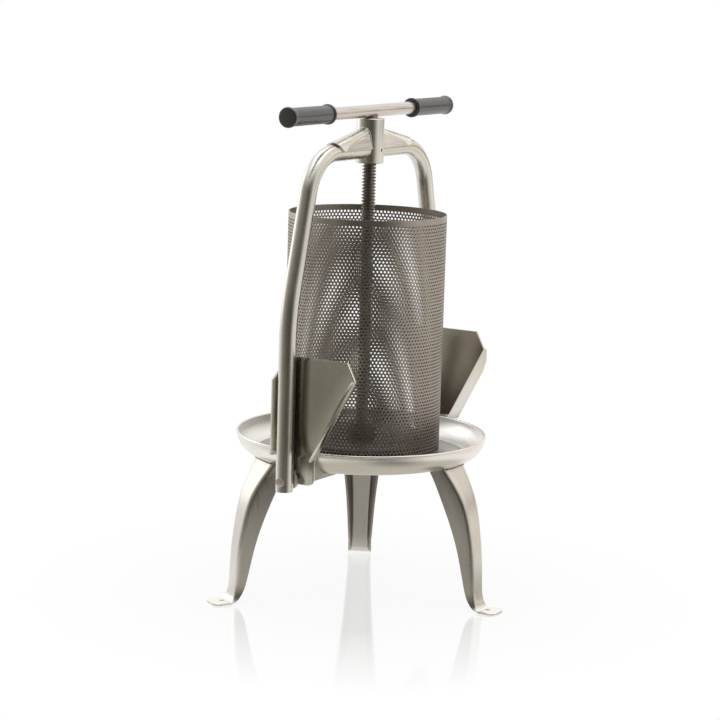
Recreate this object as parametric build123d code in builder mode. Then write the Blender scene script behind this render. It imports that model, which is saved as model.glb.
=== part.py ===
from build123d import *
import math
import os

os.makedirs("parts", exist_ok=True)

# All sizes are in millimetres. The floor is z = 0 and the screw's axis is the Z axis.
# The yoke stands in the XZ plane and the single front leg points along -Y.

# Tray
tray_radius = 200.0
tray_base_z = 222.0
rim_height = 2.0
tray_sheet = 2.0
tray_wall_bend = 34.0
rim_lip = 1.5

# Legs
leg_sheet = 3.0
leg_bend = 9.0
leg_taper = 0.30
leg_overhang = 8.5
leg_top_half_width = 30.6
leg_top_depth = 25.8
thigh_depth = 33.3
shin_depth = 26.2
ankle_depth = 15.2
ankle_z = 32.0
foot_tip_radius = 262.0
foot_half_width = 19.5
pad_length = 26.0
pad_neck = 5.0
pad_neck_half_width = 16.0
pad_flare = 9.0
heel_length = 12.0
foot_corner = 12.5
foot_hole_radius = 4.5
foot_hole_inset = 21.0

# Brackets, strap and pivots
bracket_sheet = 4.0
rim_gap = 0.5
bracket_height = 197.0
tab_drop = 6.0
tab_front_y = -40.0
tab_round = 9.0
lip_depth = 25.5
lip_tilt = 27.5
lip_flare = 14.5
lip_below_rim = 5.0
tilt_line_y = -24.3
corner_height = 28.0
corner_slope = 14.7
lip_end = 1.0
back_lip_top_drop = 8.0
back_lip_chamfer = 27.0
lip_clearance = 0.5
strap_half_width = 40.0
strap_thickness = 6.0
pivot_drop = 8.0
pivot_radius = 5.0
pivot_clearance = 0.1
pivot_head_radius = 7.0
pivot_head_height = 2.0
spacer_radius = 15.0
spacer_thickness = 5.0

# Yoke
tube_radius = 13.45
tube_wall = 2.6
yoke_height = 494.0
yoke_foot_drop = 15.5
splay = 14.2
knee_height = 255.0
shoulder_bend = 75.0
knee_bend = 350.0
hub_radius = 22.0
hub_height = 70.0
hub_drop = 21.0
weld_gap = 0.05
oil_hole_radius = 2.0
gusset_sheet = 2.5
gusset_rise = 35.0
gusset_length = 91.0
gusset_end_slope = 15.0
gusset_round = 12.0

# Screw, handle and grips
screw_radius = 11.0
screw_clearance = 0.5
shank_radius = 10.0
shank_length = 53.0
thread_chamfer = 2.0
screw_foot_radius = 15.0
screw_foot_height = 7.0
handle_gap = 1.0
handle_radius = 10.0
saddle_depth = 6.0
handle_wall = 2.0
handle_half_length = 254.0
handle_turn = 2.0
grip_length = 127.0
grip_radius = 14.2
grip_flange_radius = 15.6
grip_flange_width = 4.5
grip_end_wall = 6.0
grip_gap = 0.05

# Basket and press plate
basket_radius = 125.0
basket_sheet = 1.5
basket_height = 385.0
opening_width = 26.0
opening_height = 9.0
opening_columns = 20
opening_rows = 18
opening_margin = 13.0
plate_clearance = 2.5
plate_gap = 20.0
plate_thickness = 6.0
collar_radius = 22.0
collar_height = 25.0
collar_clearance = 0.4
foot_clearance = 0.5

# Derived sizes
tray_floor_z = tray_base_z + tray_sheet
tray_flat_radius = tray_radius - rim_lip - tray_wall_bend
tray_bend_z = tray_base_z + tray_wall_bend
tray_rim_z = tray_bend_z + rim_height
tray_wall_radius = tray_radius - rim_lip
leg_reach = 2.0 * leg_top_half_width
leg_top_radius = tray_flat_radius + leg_overhang
leg_root_radius = leg_top_radius - 2.2 * leg_top_depth
pad_start = foot_tip_radius - pad_length
ankle_radius = pad_start - heel_length
thigh_radius = leg_top_radius + 0.594 * (ankle_radius - leg_top_radius)
shin_radius = leg_top_radius + 0.8725 * (ankle_radius - leg_top_radius)
thigh_z = 0.766 * tray_base_z
shin_z = 0.495 * tray_base_z
foot_hole_circle = foot_tip_radius - foot_hole_inset
pivot_z = tray_base_z - pivot_drop
bracket_foot_z = pivot_z - tab_drop
bracket_top_z = bracket_foot_z + bracket_height
bracket_in_x = tray_radius + rim_gap
bracket_out_x = bracket_in_x + bracket_sheet
tube_x = bracket_out_x + spacer_thickness + tube_radius
back_lip_y = tube_radius + lip_clearance
back_edge_y = back_lip_y + bracket_sheet
back_lip_top_z = bracket_top_z - back_lip_top_drop
back_lip_full_z = back_lip_top_z - back_lip_chamfer
lip_slope = math.tan(math.radians(lip_tilt))
tilt_sin = math.sin(math.radians(lip_tilt))
tilt_cos = math.cos(math.radians(lip_tilt))
flare_sin = math.sin(math.radians(lip_flare))
flare_cos = math.cos(math.radians(lip_flare))
lip_low_z = tray_rim_z - lip_below_rim
corner_z = bracket_top_z - corner_height
lip_high_z = corner_z - lip_end
tab_top_z = pivot_z + (tilt_line_y - tab_front_y) / lip_slope
corner_y = tilt_line_y - (corner_z - pivot_z) * lip_slope
corner_top_y = corner_y + corner_slope
lip_low_y = tilt_line_y - (lip_low_z - pivot_z) * lip_slope
lip_length = (lip_high_z - lip_low_z) / tilt_cos
yoke_top_z = pivot_z + yoke_height
yoke_foot_z = pivot_z - yoke_foot_drop
knee_z = pivot_z + knee_height
splay_tan = math.tan(math.radians(splay))
splay_sin = math.sin(math.radians(splay))
splay_cos = math.cos(math.radians(splay))
shoulder_x = tube_x - (yoke_top_z - knee_z) * splay_tan
shoulder_run = shoulder_bend * math.tan(math.radians((90.0 - splay) / 2.0))
knee_run = knee_bend * math.tan(math.radians(splay / 2.0))
hub_low_z = yoke_top_z - hub_drop
hub_top_z = hub_low_z + hub_height
gusset_half_width = tube_radius + weld_gap + gusset_sheet
gusset_high_z = yoke_top_z + gusset_rise
gusset_end_top_x = hub_radius + gusset_length
gusset_end_low_x = gusset_end_top_x - gusset_end_slope
handle_z = hub_top_z + handle_gap + handle_radius
screw_top_z = handle_z - handle_radius + saddle_depth
grip_start = handle_half_length - grip_length
basket_base_z = tray_floor_z
basket_top_z = basket_base_z + basket_height
plate_radius = basket_radius - basket_sheet - plate_clearance
plate_base_z = tray_floor_z + plate_gap
plate_top_z = plate_base_z + plate_thickness
shank_top_z = plate_top_z + screw_foot_height + shank_length

# Tray: a dish turned about Z, with a flat floor, a curved wall and a narrow rim
with BuildPart() as tray:
    with BuildSketch(Plane.XZ):
        with BuildLine():
            Line((0, tray_base_z), (tray_flat_radius, tray_base_z))
            CenterArc((tray_flat_radius, tray_bend_z), tray_wall_bend, -90, 90)
            Polyline(
                (tray_wall_radius, tray_bend_z),
                (tray_radius, tray_bend_z),
                (tray_radius, tray_rim_z),
                (tray_wall_radius - tray_sheet, tray_rim_z),
                (tray_wall_radius - tray_sheet, tray_bend_z),
            )
            CenterArc((tray_flat_radius, tray_bend_z), tray_wall_bend - tray_sheet, 0, -90)
            Line((tray_flat_radius, tray_floor_z), (0, tray_floor_z))
            Line((0, tray_floor_z), (0, tray_base_z))
        make_face()
    revolve(axis=Axis.Z)
tray.part.label = "tray"
export_step(tray.part, "parts/tray.step")


# Half the width of a leg's channel at a radius: the two flanges are flat and close in outwards
def leg_half_width(radius):
    return leg_top_half_width - leg_taper * (radius - leg_top_radius)


flange_inset = leg_sheet * math.sqrt(1.0 + leg_taper**2)
hollow_in_radius = leg_root_radius - leg_sheet
hollow_top_radius = leg_top_radius - 0.83 * leg_sheet
hollow_top_z = tray_base_z + 0.55 * leg_sheet
leg_low_z = -2.2 * leg_bend
sweep_length = tray_base_z - 3.0 * leg_low_z

# Hollow of a leg: the inside of the pressed channel, open towards the press axis
with BuildPart() as leg_hollow:
    with BuildSketch(Plane.XZ.offset(-leg_reach)):
        with BuildLine():
            Spline(
                (hollow_top_radius, hollow_top_z),
                (thigh_radius - 0.92 * leg_sheet, thigh_z - 0.39 * leg_sheet),
                (shin_radius - 0.99 * leg_sheet, shin_z - 0.17 * leg_sheet),
                (ankle_radius - leg_sheet, ankle_z),
                tangents=[(0.66, -1.0), (0.05, -1.0)],
            )
            Spline(
                (ankle_radius - leg_sheet, ankle_z),
                (pad_start, 0),
                tangents=[(0.05, -1.0), (1.0, 0.0)],
            )
            Polyline(
                (pad_start, 0),
                (pad_start, leg_low_z),
                (hollow_in_radius, leg_low_z),
                (hollow_in_radius, hollow_top_z),
                (hollow_top_radius, hollow_top_z),
            )
        make_face()
    extrude(amount=2.0 * leg_reach)
    with BuildSketch(Plane.XY.offset(1.5 * leg_low_z)):
        with BuildLine():
            Polyline(
                (hollow_in_radius, leg_half_width(hollow_in_radius) - flange_inset),
                (foot_tip_radius, leg_half_width(foot_tip_radius) - flange_inset),
                (foot_tip_radius, flange_inset - leg_half_width(foot_tip_radius)),
                (hollow_in_radius, flange_inset - leg_half_width(hollow_in_radius)),
                close=True,
            )
        make_face()
    extrude(amount=sweep_length, mode=Mode.INTERSECT)
    hollow_edges = leg_hollow.edges().filter_by(lambda e: e.length > 0.6 * tray_base_z)
    bend_edges = hollow_edges.filter_by(lambda e: e.center().X > thigh_radius and abs(e.center().Y) > leg_sheet)
    fillet(bend_edges, leg_bend - leg_sheet)

# Leg drawn along +X: an S-curved face, two drafted flanges and a flared foot pad with a hole
with BuildPart() as leg_pattern:
    with BuildSketch(Plane.XZ.offset(-leg_reach)):
        with BuildLine():
            Spline(
                (leg_top_radius, tray_base_z),
                (thigh_radius, thigh_z),
                (shin_radius, shin_z),
                (ankle_radius, ankle_z),
                tangents=[(0.66, -1.0), (0.05, -1.0)],
            )
            Spline(
                (ankle_radius, ankle_z),
                (pad_start, leg_sheet),
                tangents=[(0.05, -1.0), (1.0, 0.0)],
            )
            Polyline(
                (pad_start, leg_sheet),
                (pad_start, leg_low_z),
                (leg_root_radius, leg_low_z),
                (leg_root_radius, tray_base_z),
                (leg_top_radius, tray_base_z),
            )
        make_face()
    extrude(amount=2.0 * leg_reach)
    with BuildSketch(Plane.XY.offset(1.5 * leg_low_z)):
        with BuildLine():
            Polyline(
                (leg_root_radius, leg_half_width(leg_root_radius)),
                (foot_tip_radius, leg_half_width(foot_tip_radius)),
                (foot_tip_radius, -leg_half_width(foot_tip_radius)),
                (leg_root_radius, -leg_half_width(leg_root_radius)),
                close=True,
            )
        make_face()
    extrude(amount=sweep_length, mode=Mode.INTERSECT)
    side_edges = leg_pattern.edges().filter_by(lambda e: e.length > 0.6 * tray_base_z)
    face_edges = side_edges.filter_by(lambda e: e.center().X > thigh_radius and abs(e.center().Y) > leg_sheet)
    fillet(face_edges, leg_bend)
    with BuildSketch(Plane.XZ.offset(-leg_reach)):
        with BuildLine():
            Spline(
                (leg_top_radius - leg_top_depth, tray_base_z),
                (thigh_radius - thigh_depth, thigh_z),
                (shin_radius - shin_depth, shin_z),
                (ankle_radius - ankle_depth, ankle_z),
                tangents=[(0.55, -1.0), (0.22, -1.0)],
            )
            Spline(
                (ankle_radius - ankle_depth, ankle_z),
                (pad_start, 0),
                tangents=[(0.22, -1.0), (1.0, 0.0)],
            )
            Polyline(
                (pad_start, 0),
                (foot_tip_radius, 0),
                (foot_tip_radius, 1.5 * leg_low_z),
                (hollow_in_radius, 1.5 * leg_low_z),
                (hollow_in_radius, tray_base_z),
                (leg_top_radius - leg_top_depth, tray_base_z),
            )
        make_face()
    extrude(amount=2.0 * leg_reach, mode=Mode.SUBTRACT)
    add(leg_hollow.part, mode=Mode.SUBTRACT)
    with BuildSketch() as pad:
        with BuildLine():
            Polyline(
                (pad_start - pad_neck, pad_neck_half_width),
                (pad_start - pad_neck + pad_flare, foot_half_width),
                (foot_tip_radius, foot_half_width),
                (foot_tip_radius, -foot_half_width),
                (pad_start - pad_neck + pad_flare, -foot_half_width),
                (pad_start - pad_neck, -pad_neck_half_width),
                close=True,
            )
        make_face()
        fillet(pad.vertices().group_by(Axis.X)[-1], foot_corner)
    extrude(amount=leg_sheet)
    with Locations((foot_hole_circle, 0, 0)):
        Cylinder(foot_hole_radius, 4.0 * leg_sheet, mode=Mode.SUBTRACT)

with BuildPart() as leg_front:
    add(leg_pattern.part.rotate(Axis.Z, -90.0))
leg_front.part.label = "leg_front"
export_step(leg_front.part, "parts/leg_front.step")

with BuildPart() as leg_right:
    add(leg_pattern.part.rotate(Axis.Z, 30.0))
leg_right.part.label = "leg_right"
export_step(leg_right.part, "parts/leg_right.step")

with BuildPart() as leg_left:
    add(leg_pattern.part.rotate(Axis.Z, 150.0))
leg_left.part.label = "leg_left"
export_step(leg_left.part, "parts/leg_left.step")

# Strap: a flat bar under the tray that ties the two brackets together
with BuildPart() as strap:
    with Locations((0, 0, tray_base_z - strap_thickness / 2.0)):
        Box(2.0 * bracket_in_x, 2.0 * strap_half_width, strap_thickness)
strap.part.label = "strap"
export_step(strap.part, "parts/strap.step")

# Lip planes of the left bracket: both lips are bent out from the plate and flare open
back_lip_plane = Plane(
    origin=(-bracket_out_x, back_lip_y, 0),
    x_dir=(-flare_cos, flare_sin, 0),
    z_dir=(flare_sin, flare_cos, 0),
)
front_lip_plane = Plane(
    origin=(-bracket_out_x, lip_low_y, lip_low_z),
    x_dir=(-flare_cos, -flare_sin * tilt_cos, -flare_sin * tilt_sin),
    z_dir=(-flare_sin, flare_cos * tilt_cos, flare_cos * tilt_sin),
)
lip_root = bracket_sheet / 2.0

# Left bracket: a flat plate outside the rim with a vertical lip, a slanted lip and a tab
with BuildPart() as bracket_left:
    with BuildSketch(Plane.YZ.offset(-bracket_out_x)):
        with BuildLine():
            Polyline(
                (back_edge_y, bracket_foot_z),
                (tab_front_y + tab_round, bracket_foot_z),
                (tab_front_y, bracket_foot_z + tab_round),
                (tab_front_y, tab_top_z),
                (corner_y, corner_z),
                (corner_top_y, bracket_top_z),
                (back_edge_y, bracket_top_z),
                close=True,
            )
        make_face()
    extrude(amount=bracket_sheet)
    with BuildSketch(back_lip_plane):
        with BuildLine():
            Polyline(
                (-lip_root, lip_low_z),
                (lip_depth, lip_low_z),
                (lip_depth, back_lip_full_z),
                (0, back_lip_top_z),
                (-lip_root, back_lip_top_z),
                close=True,
            )
        make_face()
    extrude(amount=bracket_sheet)
    with BuildSketch(front_lip_plane):
        with BuildLine():
            Polyline(
                (-lip_root, 0),
                (lip_depth, 0),
                (lip_depth, lip_length),
                (-lip_root, lip_length),
                close=True,
            )
        make_face()
    extrude(amount=bracket_sheet)
    with Locations(Location((-bracket_in_x, 0, pivot_z), (0, 90, 0))):
        Cylinder(pivot_radius + pivot_clearance, 4.0 * bracket_sheet, mode=Mode.SUBTRACT)
bracket_left.part.label = "bracket_left"
export_step(bracket_left.part, "parts/bracket_left.step")

# Right bracket: the mirror part of the left one
with BuildPart() as bracket_right:
    add(bracket_left.part.mirror(Plane.YZ))
bracket_right.part.label = "bracket_right"
export_step(bracket_right.part, "parts/bracket_right.step")

# Spacers: one round disc between each yoke foot and its bracket
with BuildPart() as pivot_spacers:
    with Locations(
        Location((-bracket_out_x - spacer_thickness / 2.0, 0, pivot_z), (0, 90, 0)),
        Location((bracket_out_x + spacer_thickness / 2.0, 0, pivot_z), (0, 90, 0)),
    ):
        Cylinder(spacer_radius, spacer_thickness)
        Cylinder(pivot_radius + pivot_clearance, 2.0 * spacer_thickness, mode=Mode.SUBTRACT)
pivot_spacers.part.label = "pivot_spacers"
export_step(pivot_spacers.part, "parts/pivot_spacers.step")

# Pivot screws: a round head outside each yoke foot and a shank that ends in the bracket
pivot_length = tube_x + tube_radius - bracket_in_x
with BuildPart() as pivot_screws:
    with Locations(
        Location((-bracket_in_x - pivot_length / 2.0, 0, pivot_z), (0, 90, 0)),
        Location((bracket_in_x + pivot_length / 2.0, 0, pivot_z), (0, 90, 0)),
    ):
        Cylinder(pivot_radius, pivot_length)
    with Locations(
        Location((-tube_x - tube_radius - pivot_head_height / 2.0, 0, pivot_z), (0, 90, 0)),
        Location((tube_x + tube_radius + pivot_head_height / 2.0, 0, pivot_z), (0, 90, 0)),
    ):
        Cylinder(pivot_head_radius, pivot_head_height)
    fillet(pivot_screws.edges().filter_by(GeomType.CIRCLE).group_by(Axis.X)[0], 0.4 * pivot_head_height)
    fillet(pivot_screws.edges().filter_by(GeomType.CIRCLE).group_by(Axis.X)[-1], 0.4 * pivot_head_height)
pivot_screws.part.label = "pivot_screws"
export_step(pivot_screws.part, "parts/pivot_screws.step")

# Right yoke tube: from the hub along the top, round the shoulder, down the splayed side,
# round the knee and straight down beside the bracket
arc_mid = math.radians((90.0 + splay) / 2.0)
knee_mid = math.radians(splay / 2.0)
shoulder_c = (shoulder_x - shoulder_run, yoke_top_z - shoulder_bend)
knee_c = (tube_x - knee_bend, knee_z - knee_run)
with BuildPart() as yoke_right:
    with BuildLine(Plane.XZ) as right_path:
        Line((0, yoke_top_z), (shoulder_x - shoulder_run, yoke_top_z))
        ThreePointArc(
            (shoulder_x - shoulder_run, yoke_top_z),
            (shoulder_c[0] + shoulder_bend * math.cos(arc_mid), shoulder_c[1] + shoulder_bend * math.sin(arc_mid)),
            (shoulder_x + shoulder_run * splay_sin, yoke_top_z - shoulder_run * splay_cos),
        )
        Line(
            (shoulder_x + shoulder_run * splay_sin, yoke_top_z - shoulder_run * splay_cos),
            (tube_x - knee_run * splay_sin, knee_z + knee_run * splay_cos),
        )
        ThreePointArc(
            (tube_x - knee_run * splay_sin, knee_z + knee_run * splay_cos),
            (knee_c[0] + knee_bend * math.cos(knee_mid), knee_c[1] + knee_bend * math.sin(knee_mid)),
            (tube_x, knee_z - knee_run),
        )
        Line((tube_x, knee_z - knee_run), (tube_x, yoke_foot_z))
    with BuildSketch(Plane.YZ):
        with Locations((0, yoke_top_z)):
            Circle(tube_radius)
            Circle(tube_radius - tube_wall, mode=Mode.SUBTRACT)
    sweep(path=right_path.line)
    with Locations((0, 0, yoke_top_z)):
        Cylinder(hub_radius + weld_gap, 4.0 * tube_radius, mode=Mode.SUBTRACT)
    with Locations(Location((tube_x, 0, pivot_z), (0, 90, 0))):
        Cylinder(pivot_radius + pivot_clearance, 4.0 * tube_radius, mode=Mode.SUBTRACT)
yoke_right.part.label = "yoke_right"
export_step(yoke_right.part, "parts/yoke_right.step")

# Left yoke tube: the mirror part of the right one
with BuildPart() as yoke_left:
    add(yoke_right.part.mirror(Plane.YZ))
yoke_left.part.label = "yoke_left"
export_step(yoke_left.part, "parts/yoke_left.step")

# Hub: the tall sleeve whose bore carries the screw, with an oil hole drilled from the front
with BuildPart() as hub:
    with Locations((0, 0, (hub_low_z + hub_top_z) / 2.0)):
        Cylinder(hub_radius, hub_height)
    chamfer(hub.edges().filter_by(GeomType.CIRCLE), 1.0)
    with Locations((0, 0, (hub_low_z + hub_top_z) / 2.0)):
        Cylinder(screw_radius + screw_clearance, 2.0 * hub_height, mode=Mode.SUBTRACT)
    with Locations(Location((0, -hub_radius, yoke_top_z), (90, 0, 0))):
        Cylinder(oil_hole_radius, 1.4 * hub_radius, mode=Mode.SUBTRACT)
hub.part.label = "hub"
export_step(hub.part, "parts/hub.step")

# Right gusset: a folded saddle over the tube that rises towards the hub
saddle_z = yoke_top_z + tube_radius + gusset_sheet
ridge_slope = (gusset_high_z - saddle_z) / gusset_length
ridge_top_z = gusset_high_z + hub_radius * ridge_slope
ridge_length = 0.7 * gusset_end_top_x
with BuildPart() as gusset_hollow:
    with BuildSketch(Plane.XZ):
        with BuildLine():
            Polyline(
                (0, yoke_top_z - gusset_sheet),
                (1.2 * gusset_end_top_x, yoke_top_z - gusset_sheet),
                (1.2 * gusset_end_top_x, saddle_z - gusset_sheet - 0.2 * gusset_end_top_x * ridge_slope),
                (0, ridge_top_z - gusset_sheet),
                close=True,
            )
        make_face()
    extrude(amount=tube_radius + weld_gap, both=True)
    inner_ridges = gusset_hollow.edges().filter_by(lambda e: e.center().Z > saddle_z and e.length > ridge_length)
    fillet(inner_ridges, gusset_round - gusset_sheet)

with BuildPart() as gusset_right:
    with BuildSketch(Plane.XZ):
        with BuildLine():
            Polyline(
                (0, yoke_top_z),
                (gusset_end_low_x, yoke_top_z),
                (gusset_end_top_x, saddle_z),
                (0, ridge_top_z),
                close=True,
            )
        make_face()
    extrude(amount=gusset_half_width, both=True)
    outer_ridges = gusset_right.edges().filter_by(lambda e: e.center().Z > saddle_z and e.length > ridge_length)
    fillet(outer_ridges, gusset_round)
    add(gusset_hollow.part, mode=Mode.SUBTRACT)
    with Locations((0, 0, yoke_top_z)):
        Cylinder(hub_radius + weld_gap, 6.0 * tube_radius, mode=Mode.SUBTRACT)
    with Locations(Location((gusset_end_top_x / 2.0, 0, yoke_top_z), (0, 90, 0))):
        Cylinder(tube_radius + weld_gap, 2.0 * gusset_end_top_x, mode=Mode.SUBTRACT)
gusset_right.part.label = "gusset_right"
export_step(gusset_right.part, "parts/gusset_right.step")

# Left gusset: the mirror part of the right one
with BuildPart() as gusset_left:
    add(gusset_right.part.mirror(Plane.YZ))
gusset_left.part.label = "gusset_left"
export_step(gusset_left.part, "parts/gusset_left.step")

# Handle planes: one with its normal along the handle, one lying flat with its X axis along it
handle_along = (math.cos(math.radians(handle_turn)), math.sin(math.radians(handle_turn)), 0)
handle_across = Plane(origin=(0, 0, handle_z), z_dir=handle_along)
handle_plane = Plane(origin=(0, 0, handle_z), x_dir=handle_along, z_dir=(0, 0, 1))

# Screw: threaded length (drawn at its outside radius), smooth shank and thrust foot
with BuildPart() as screw:
    with BuildSketch(Plane.XZ):
        with BuildLine():
            Polyline(
                (0, plate_top_z),
                (screw_foot_radius, plate_top_z),
                (screw_foot_radius, plate_top_z + screw_foot_height),
                (shank_radius, plate_top_z + screw_foot_height),
                (shank_radius, shank_top_z),
                (screw_radius, shank_top_z + thread_chamfer),
                (screw_radius, screw_top_z),
                (0, screw_top_z),
                close=True,
            )
        make_face()
    revolve(axis=Axis.Z)
    with Locations(Location(handle_across)):
        Cylinder(handle_radius + weld_gap, 4.0 * screw_radius, mode=Mode.SUBTRACT)
screw.part.label = "screw"
export_step(screw.part, "parts/screw.step")

# Handle tube: lies across the top of the screw
tube_half = handle_half_length - grip_end_wall
with BuildPart() as handle_tube:
    with Locations(Location(handle_across)):
        Cylinder(handle_radius, 2.0 * tube_half)
        Cylinder(handle_radius - handle_wall, 2.0 * tube_half, mode=Mode.SUBTRACT)
handle_tube.part.label = "handle_tube"
export_step(handle_tube.part, "parts/handle_tube.step")

# Right grip: a sleeve with a collar at its inner end and a closed, flared outer end
grip_end = handle_half_length
with BuildPart() as grip_right:
    with BuildSketch(handle_plane):
        with BuildLine():
            Polyline(
                (grip_start, handle_radius + grip_gap),
                (grip_start, grip_flange_radius),
                (grip_start + grip_flange_width, grip_flange_radius),
                (grip_start + grip_flange_width + 1.5, grip_radius),
                (grip_end - grip_flange_width - 4.0, grip_radius),
                (grip_end - grip_flange_width, grip_flange_radius),
                (grip_end - 1.5, grip_flange_radius),
                (grip_end, grip_flange_radius - 1.5),
                (grip_end, 0),
                (grip_end - grip_end_wall, 0),
                (grip_end - grip_end_wall, handle_radius + grip_gap),
                close=True,
            )
        make_face()
    revolve(axis=Axis(handle_plane.origin, handle_plane.x_dir))
grip_right.part.label = "grip_right"
export_step(grip_right.part, "parts/grip_right.step")

# Left grip: the right one turned half a turn about the screw
with BuildPart() as grip_left:
    add(grip_right.part.rotate(Axis.Z, 180.0))
grip_left.part.label = "grip_left"
export_step(grip_left.part, "parts/grip_left.step")

# Openings of the basket: staggered rows of windows between a plain band at the top and one below
opening_turn = 360.0 / opening_columns
opening_step = (basket_height - 2.0 * opening_margin) / opening_rows
opening_places = []
for row in range(opening_rows):
    row_z = basket_base_z + opening_margin + (row + 0.5) * opening_step
    for column in range(opening_columns):
        angle = math.radians((column + 0.5 * (row % 2)) * opening_turn)
        outwards = (math.cos(angle), math.sin(angle), 0)
        sideways = (-math.sin(angle), math.cos(angle), 0)
        spot = (basket_radius * outwards[0], basket_radius * outwards[1], row_z)
        opening_places.append(Location(Plane(origin=spot, x_dir=sideways, z_dir=outwards)))

# Basket: an open cylinder of perforated sheet that stands loose on the tray floor
with BuildPart() as basket:
    with Locations((0, 0, (basket_base_z + basket_top_z) / 2.0)):
        Cylinder(basket_radius, basket_height)
        Cylinder(basket_radius - basket_sheet, 2.0 * basket_height, mode=Mode.SUBTRACT)
    with Locations(*opening_places):
        Box(opening_width, opening_height, 8.0 * basket_sheet, mode=Mode.SUBTRACT)
basket.part.label = "basket"
export_step(basket.part, "parts/basket.step")

# Press plate: a flat disc that fits the basket with room to slide
with BuildPart() as press_plate:
    with Locations((0, 0, plate_top_z - plate_thickness / 2.0)):
        Cylinder(plate_radius, plate_thickness)
    chamfer(press_plate.edges().filter_by(GeomType.CIRCLE), 1.0)
press_plate.part.label = "press_plate"
export_step(press_plate.part, "parts/press_plate.step")

# Collar: a cup on the plate that holds the screw's thrust foot and lets it turn
with BuildPart() as plate_collar:
    with BuildSketch(Plane.XZ):
        with BuildLine():
            Polyline(
                (screw_foot_radius + foot_clearance, plate_top_z),
                (collar_radius, plate_top_z),
                (collar_radius, plate_top_z + collar_height - 3.0),
                (collar_radius - 3.0, plate_top_z + collar_height),
                (shank_radius + collar_clearance, plate_top_z + collar_height),
                (shank_radius + collar_clearance, plate_top_z + screw_foot_height + foot_clearance),
                (screw_foot_radius + foot_clearance, plate_top_z + screw_foot_height + foot_clearance),
                close=True,
            )
        make_face()
    revolve(axis=Axis.Z)
plate_collar.part.label = "plate_collar"
export_step(plate_collar.part, "parts/plate_collar.step")
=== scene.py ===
# %% [markdown]
# # A fruit press in satin steel
# This notebook dresses a small screw press: a perforated basket stands in a round tray on three
# curved legs, and a bent-tube yoke carries a screw with a T-handle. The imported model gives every
# piece its place, and each cell below makes one piece or one finish. Lengths are written in
# millimetres, as on a workshop drawing, and `mm` turns them into Blender's metres.

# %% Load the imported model
import math
import bmesh
import bpy
import numpy as np
from mathutils import Matrix, Vector


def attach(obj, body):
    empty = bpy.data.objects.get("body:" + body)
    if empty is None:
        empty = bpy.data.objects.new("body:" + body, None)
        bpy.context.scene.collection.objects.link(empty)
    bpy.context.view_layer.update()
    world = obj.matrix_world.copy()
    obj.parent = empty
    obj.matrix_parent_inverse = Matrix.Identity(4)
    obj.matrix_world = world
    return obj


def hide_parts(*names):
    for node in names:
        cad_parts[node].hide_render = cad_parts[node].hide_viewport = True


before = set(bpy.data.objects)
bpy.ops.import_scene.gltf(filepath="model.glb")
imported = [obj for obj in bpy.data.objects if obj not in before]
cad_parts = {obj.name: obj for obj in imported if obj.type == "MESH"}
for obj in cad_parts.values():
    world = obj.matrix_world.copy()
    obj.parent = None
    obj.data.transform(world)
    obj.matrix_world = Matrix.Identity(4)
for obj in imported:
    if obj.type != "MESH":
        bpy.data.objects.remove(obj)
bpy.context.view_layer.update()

mm = 0.001

# %% [markdown]
# ## Finishes
# A finish is a small network of shader nodes. It could be clicked together in the shader editor,
# but in a script the same few moves come back in every finish. So they are helpers: add a node
# and feed its sockets, stretch a range of values, lay tones on a ramp, paint a colour over
# another. A socket is fed with a number or with the output of another node.

# %% Helpers for shader nodes
def new_finish(name):
    finish = bpy.data.materials.new(name)
    finish.use_nodes = True
    return finish, finish.node_tree

def feed(tree, node, inputs):
    for socket, value in inputs.items():
        if isinstance(value, bpy.types.NodeSocket):
            tree.links.new(value, node.inputs[socket])
        else:
            node.inputs[socket].default_value = value
    return node

def add(tree, kind, inputs=None, **settings):
    node = tree.nodes.new("ShaderNode" + kind)
    for name, value in settings.items():
        setattr(node, name, value)
    return feed(tree, node, inputs or {})

def remap(tree, value, start, end, low=0.0, high=1.0, kind="LINEAR"):
    inputs = {"Value": value, "From Min": start, "From Max": end, "To Min": low, "To Max": high}
    return add(tree, "MapRange", inputs, interpolation_type=kind).outputs["Result"]

def ramp(tree, value, stops):
    node = add(tree, "ValToRGB", {"Fac": value})
    elements = node.color_ramp.elements
    while len(elements) < len(stops):
        elements.new(0.5)
    for element, (place, colour) in zip(elements, stops):
        element.position, element.color = place, (*colour, 1)
    return node.outputs["Color"]

def paint_over(tree, factor, under, colour):
    # sockets 6 and 7 of a Mix node are its two colours, and output 2 is the mixed one
    inputs = {"Factor": factor, 6: under, 7: (*colour, 1)}
    return add(tree, "Mix", inputs, data_type="RGBA").outputs[2]

print("materials that came with the packed model:", len(bpy.data.materials))

# %% [markdown]
# The two grips are black moulded plastic. Plastic isn't metallic: its highlight is soft and its
# colour nearly black. One flat black would look like a hole, so a fine noise moves the tone, the
# roughness and a faint bump. The tips of the diamonds are painted grey, as wear from hands and as
# a painted glint where they catch the light: the mesh marks them later, and the finish paints
# that mark grey.

# %% Black plastic for the grips
def noise(tree, vector, scale, detail):
    inputs = {"Vector": vector, "Scale": scale, "Detail": detail}
    return add(tree, "TexNoise", inputs).outputs["Fac"]

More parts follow.
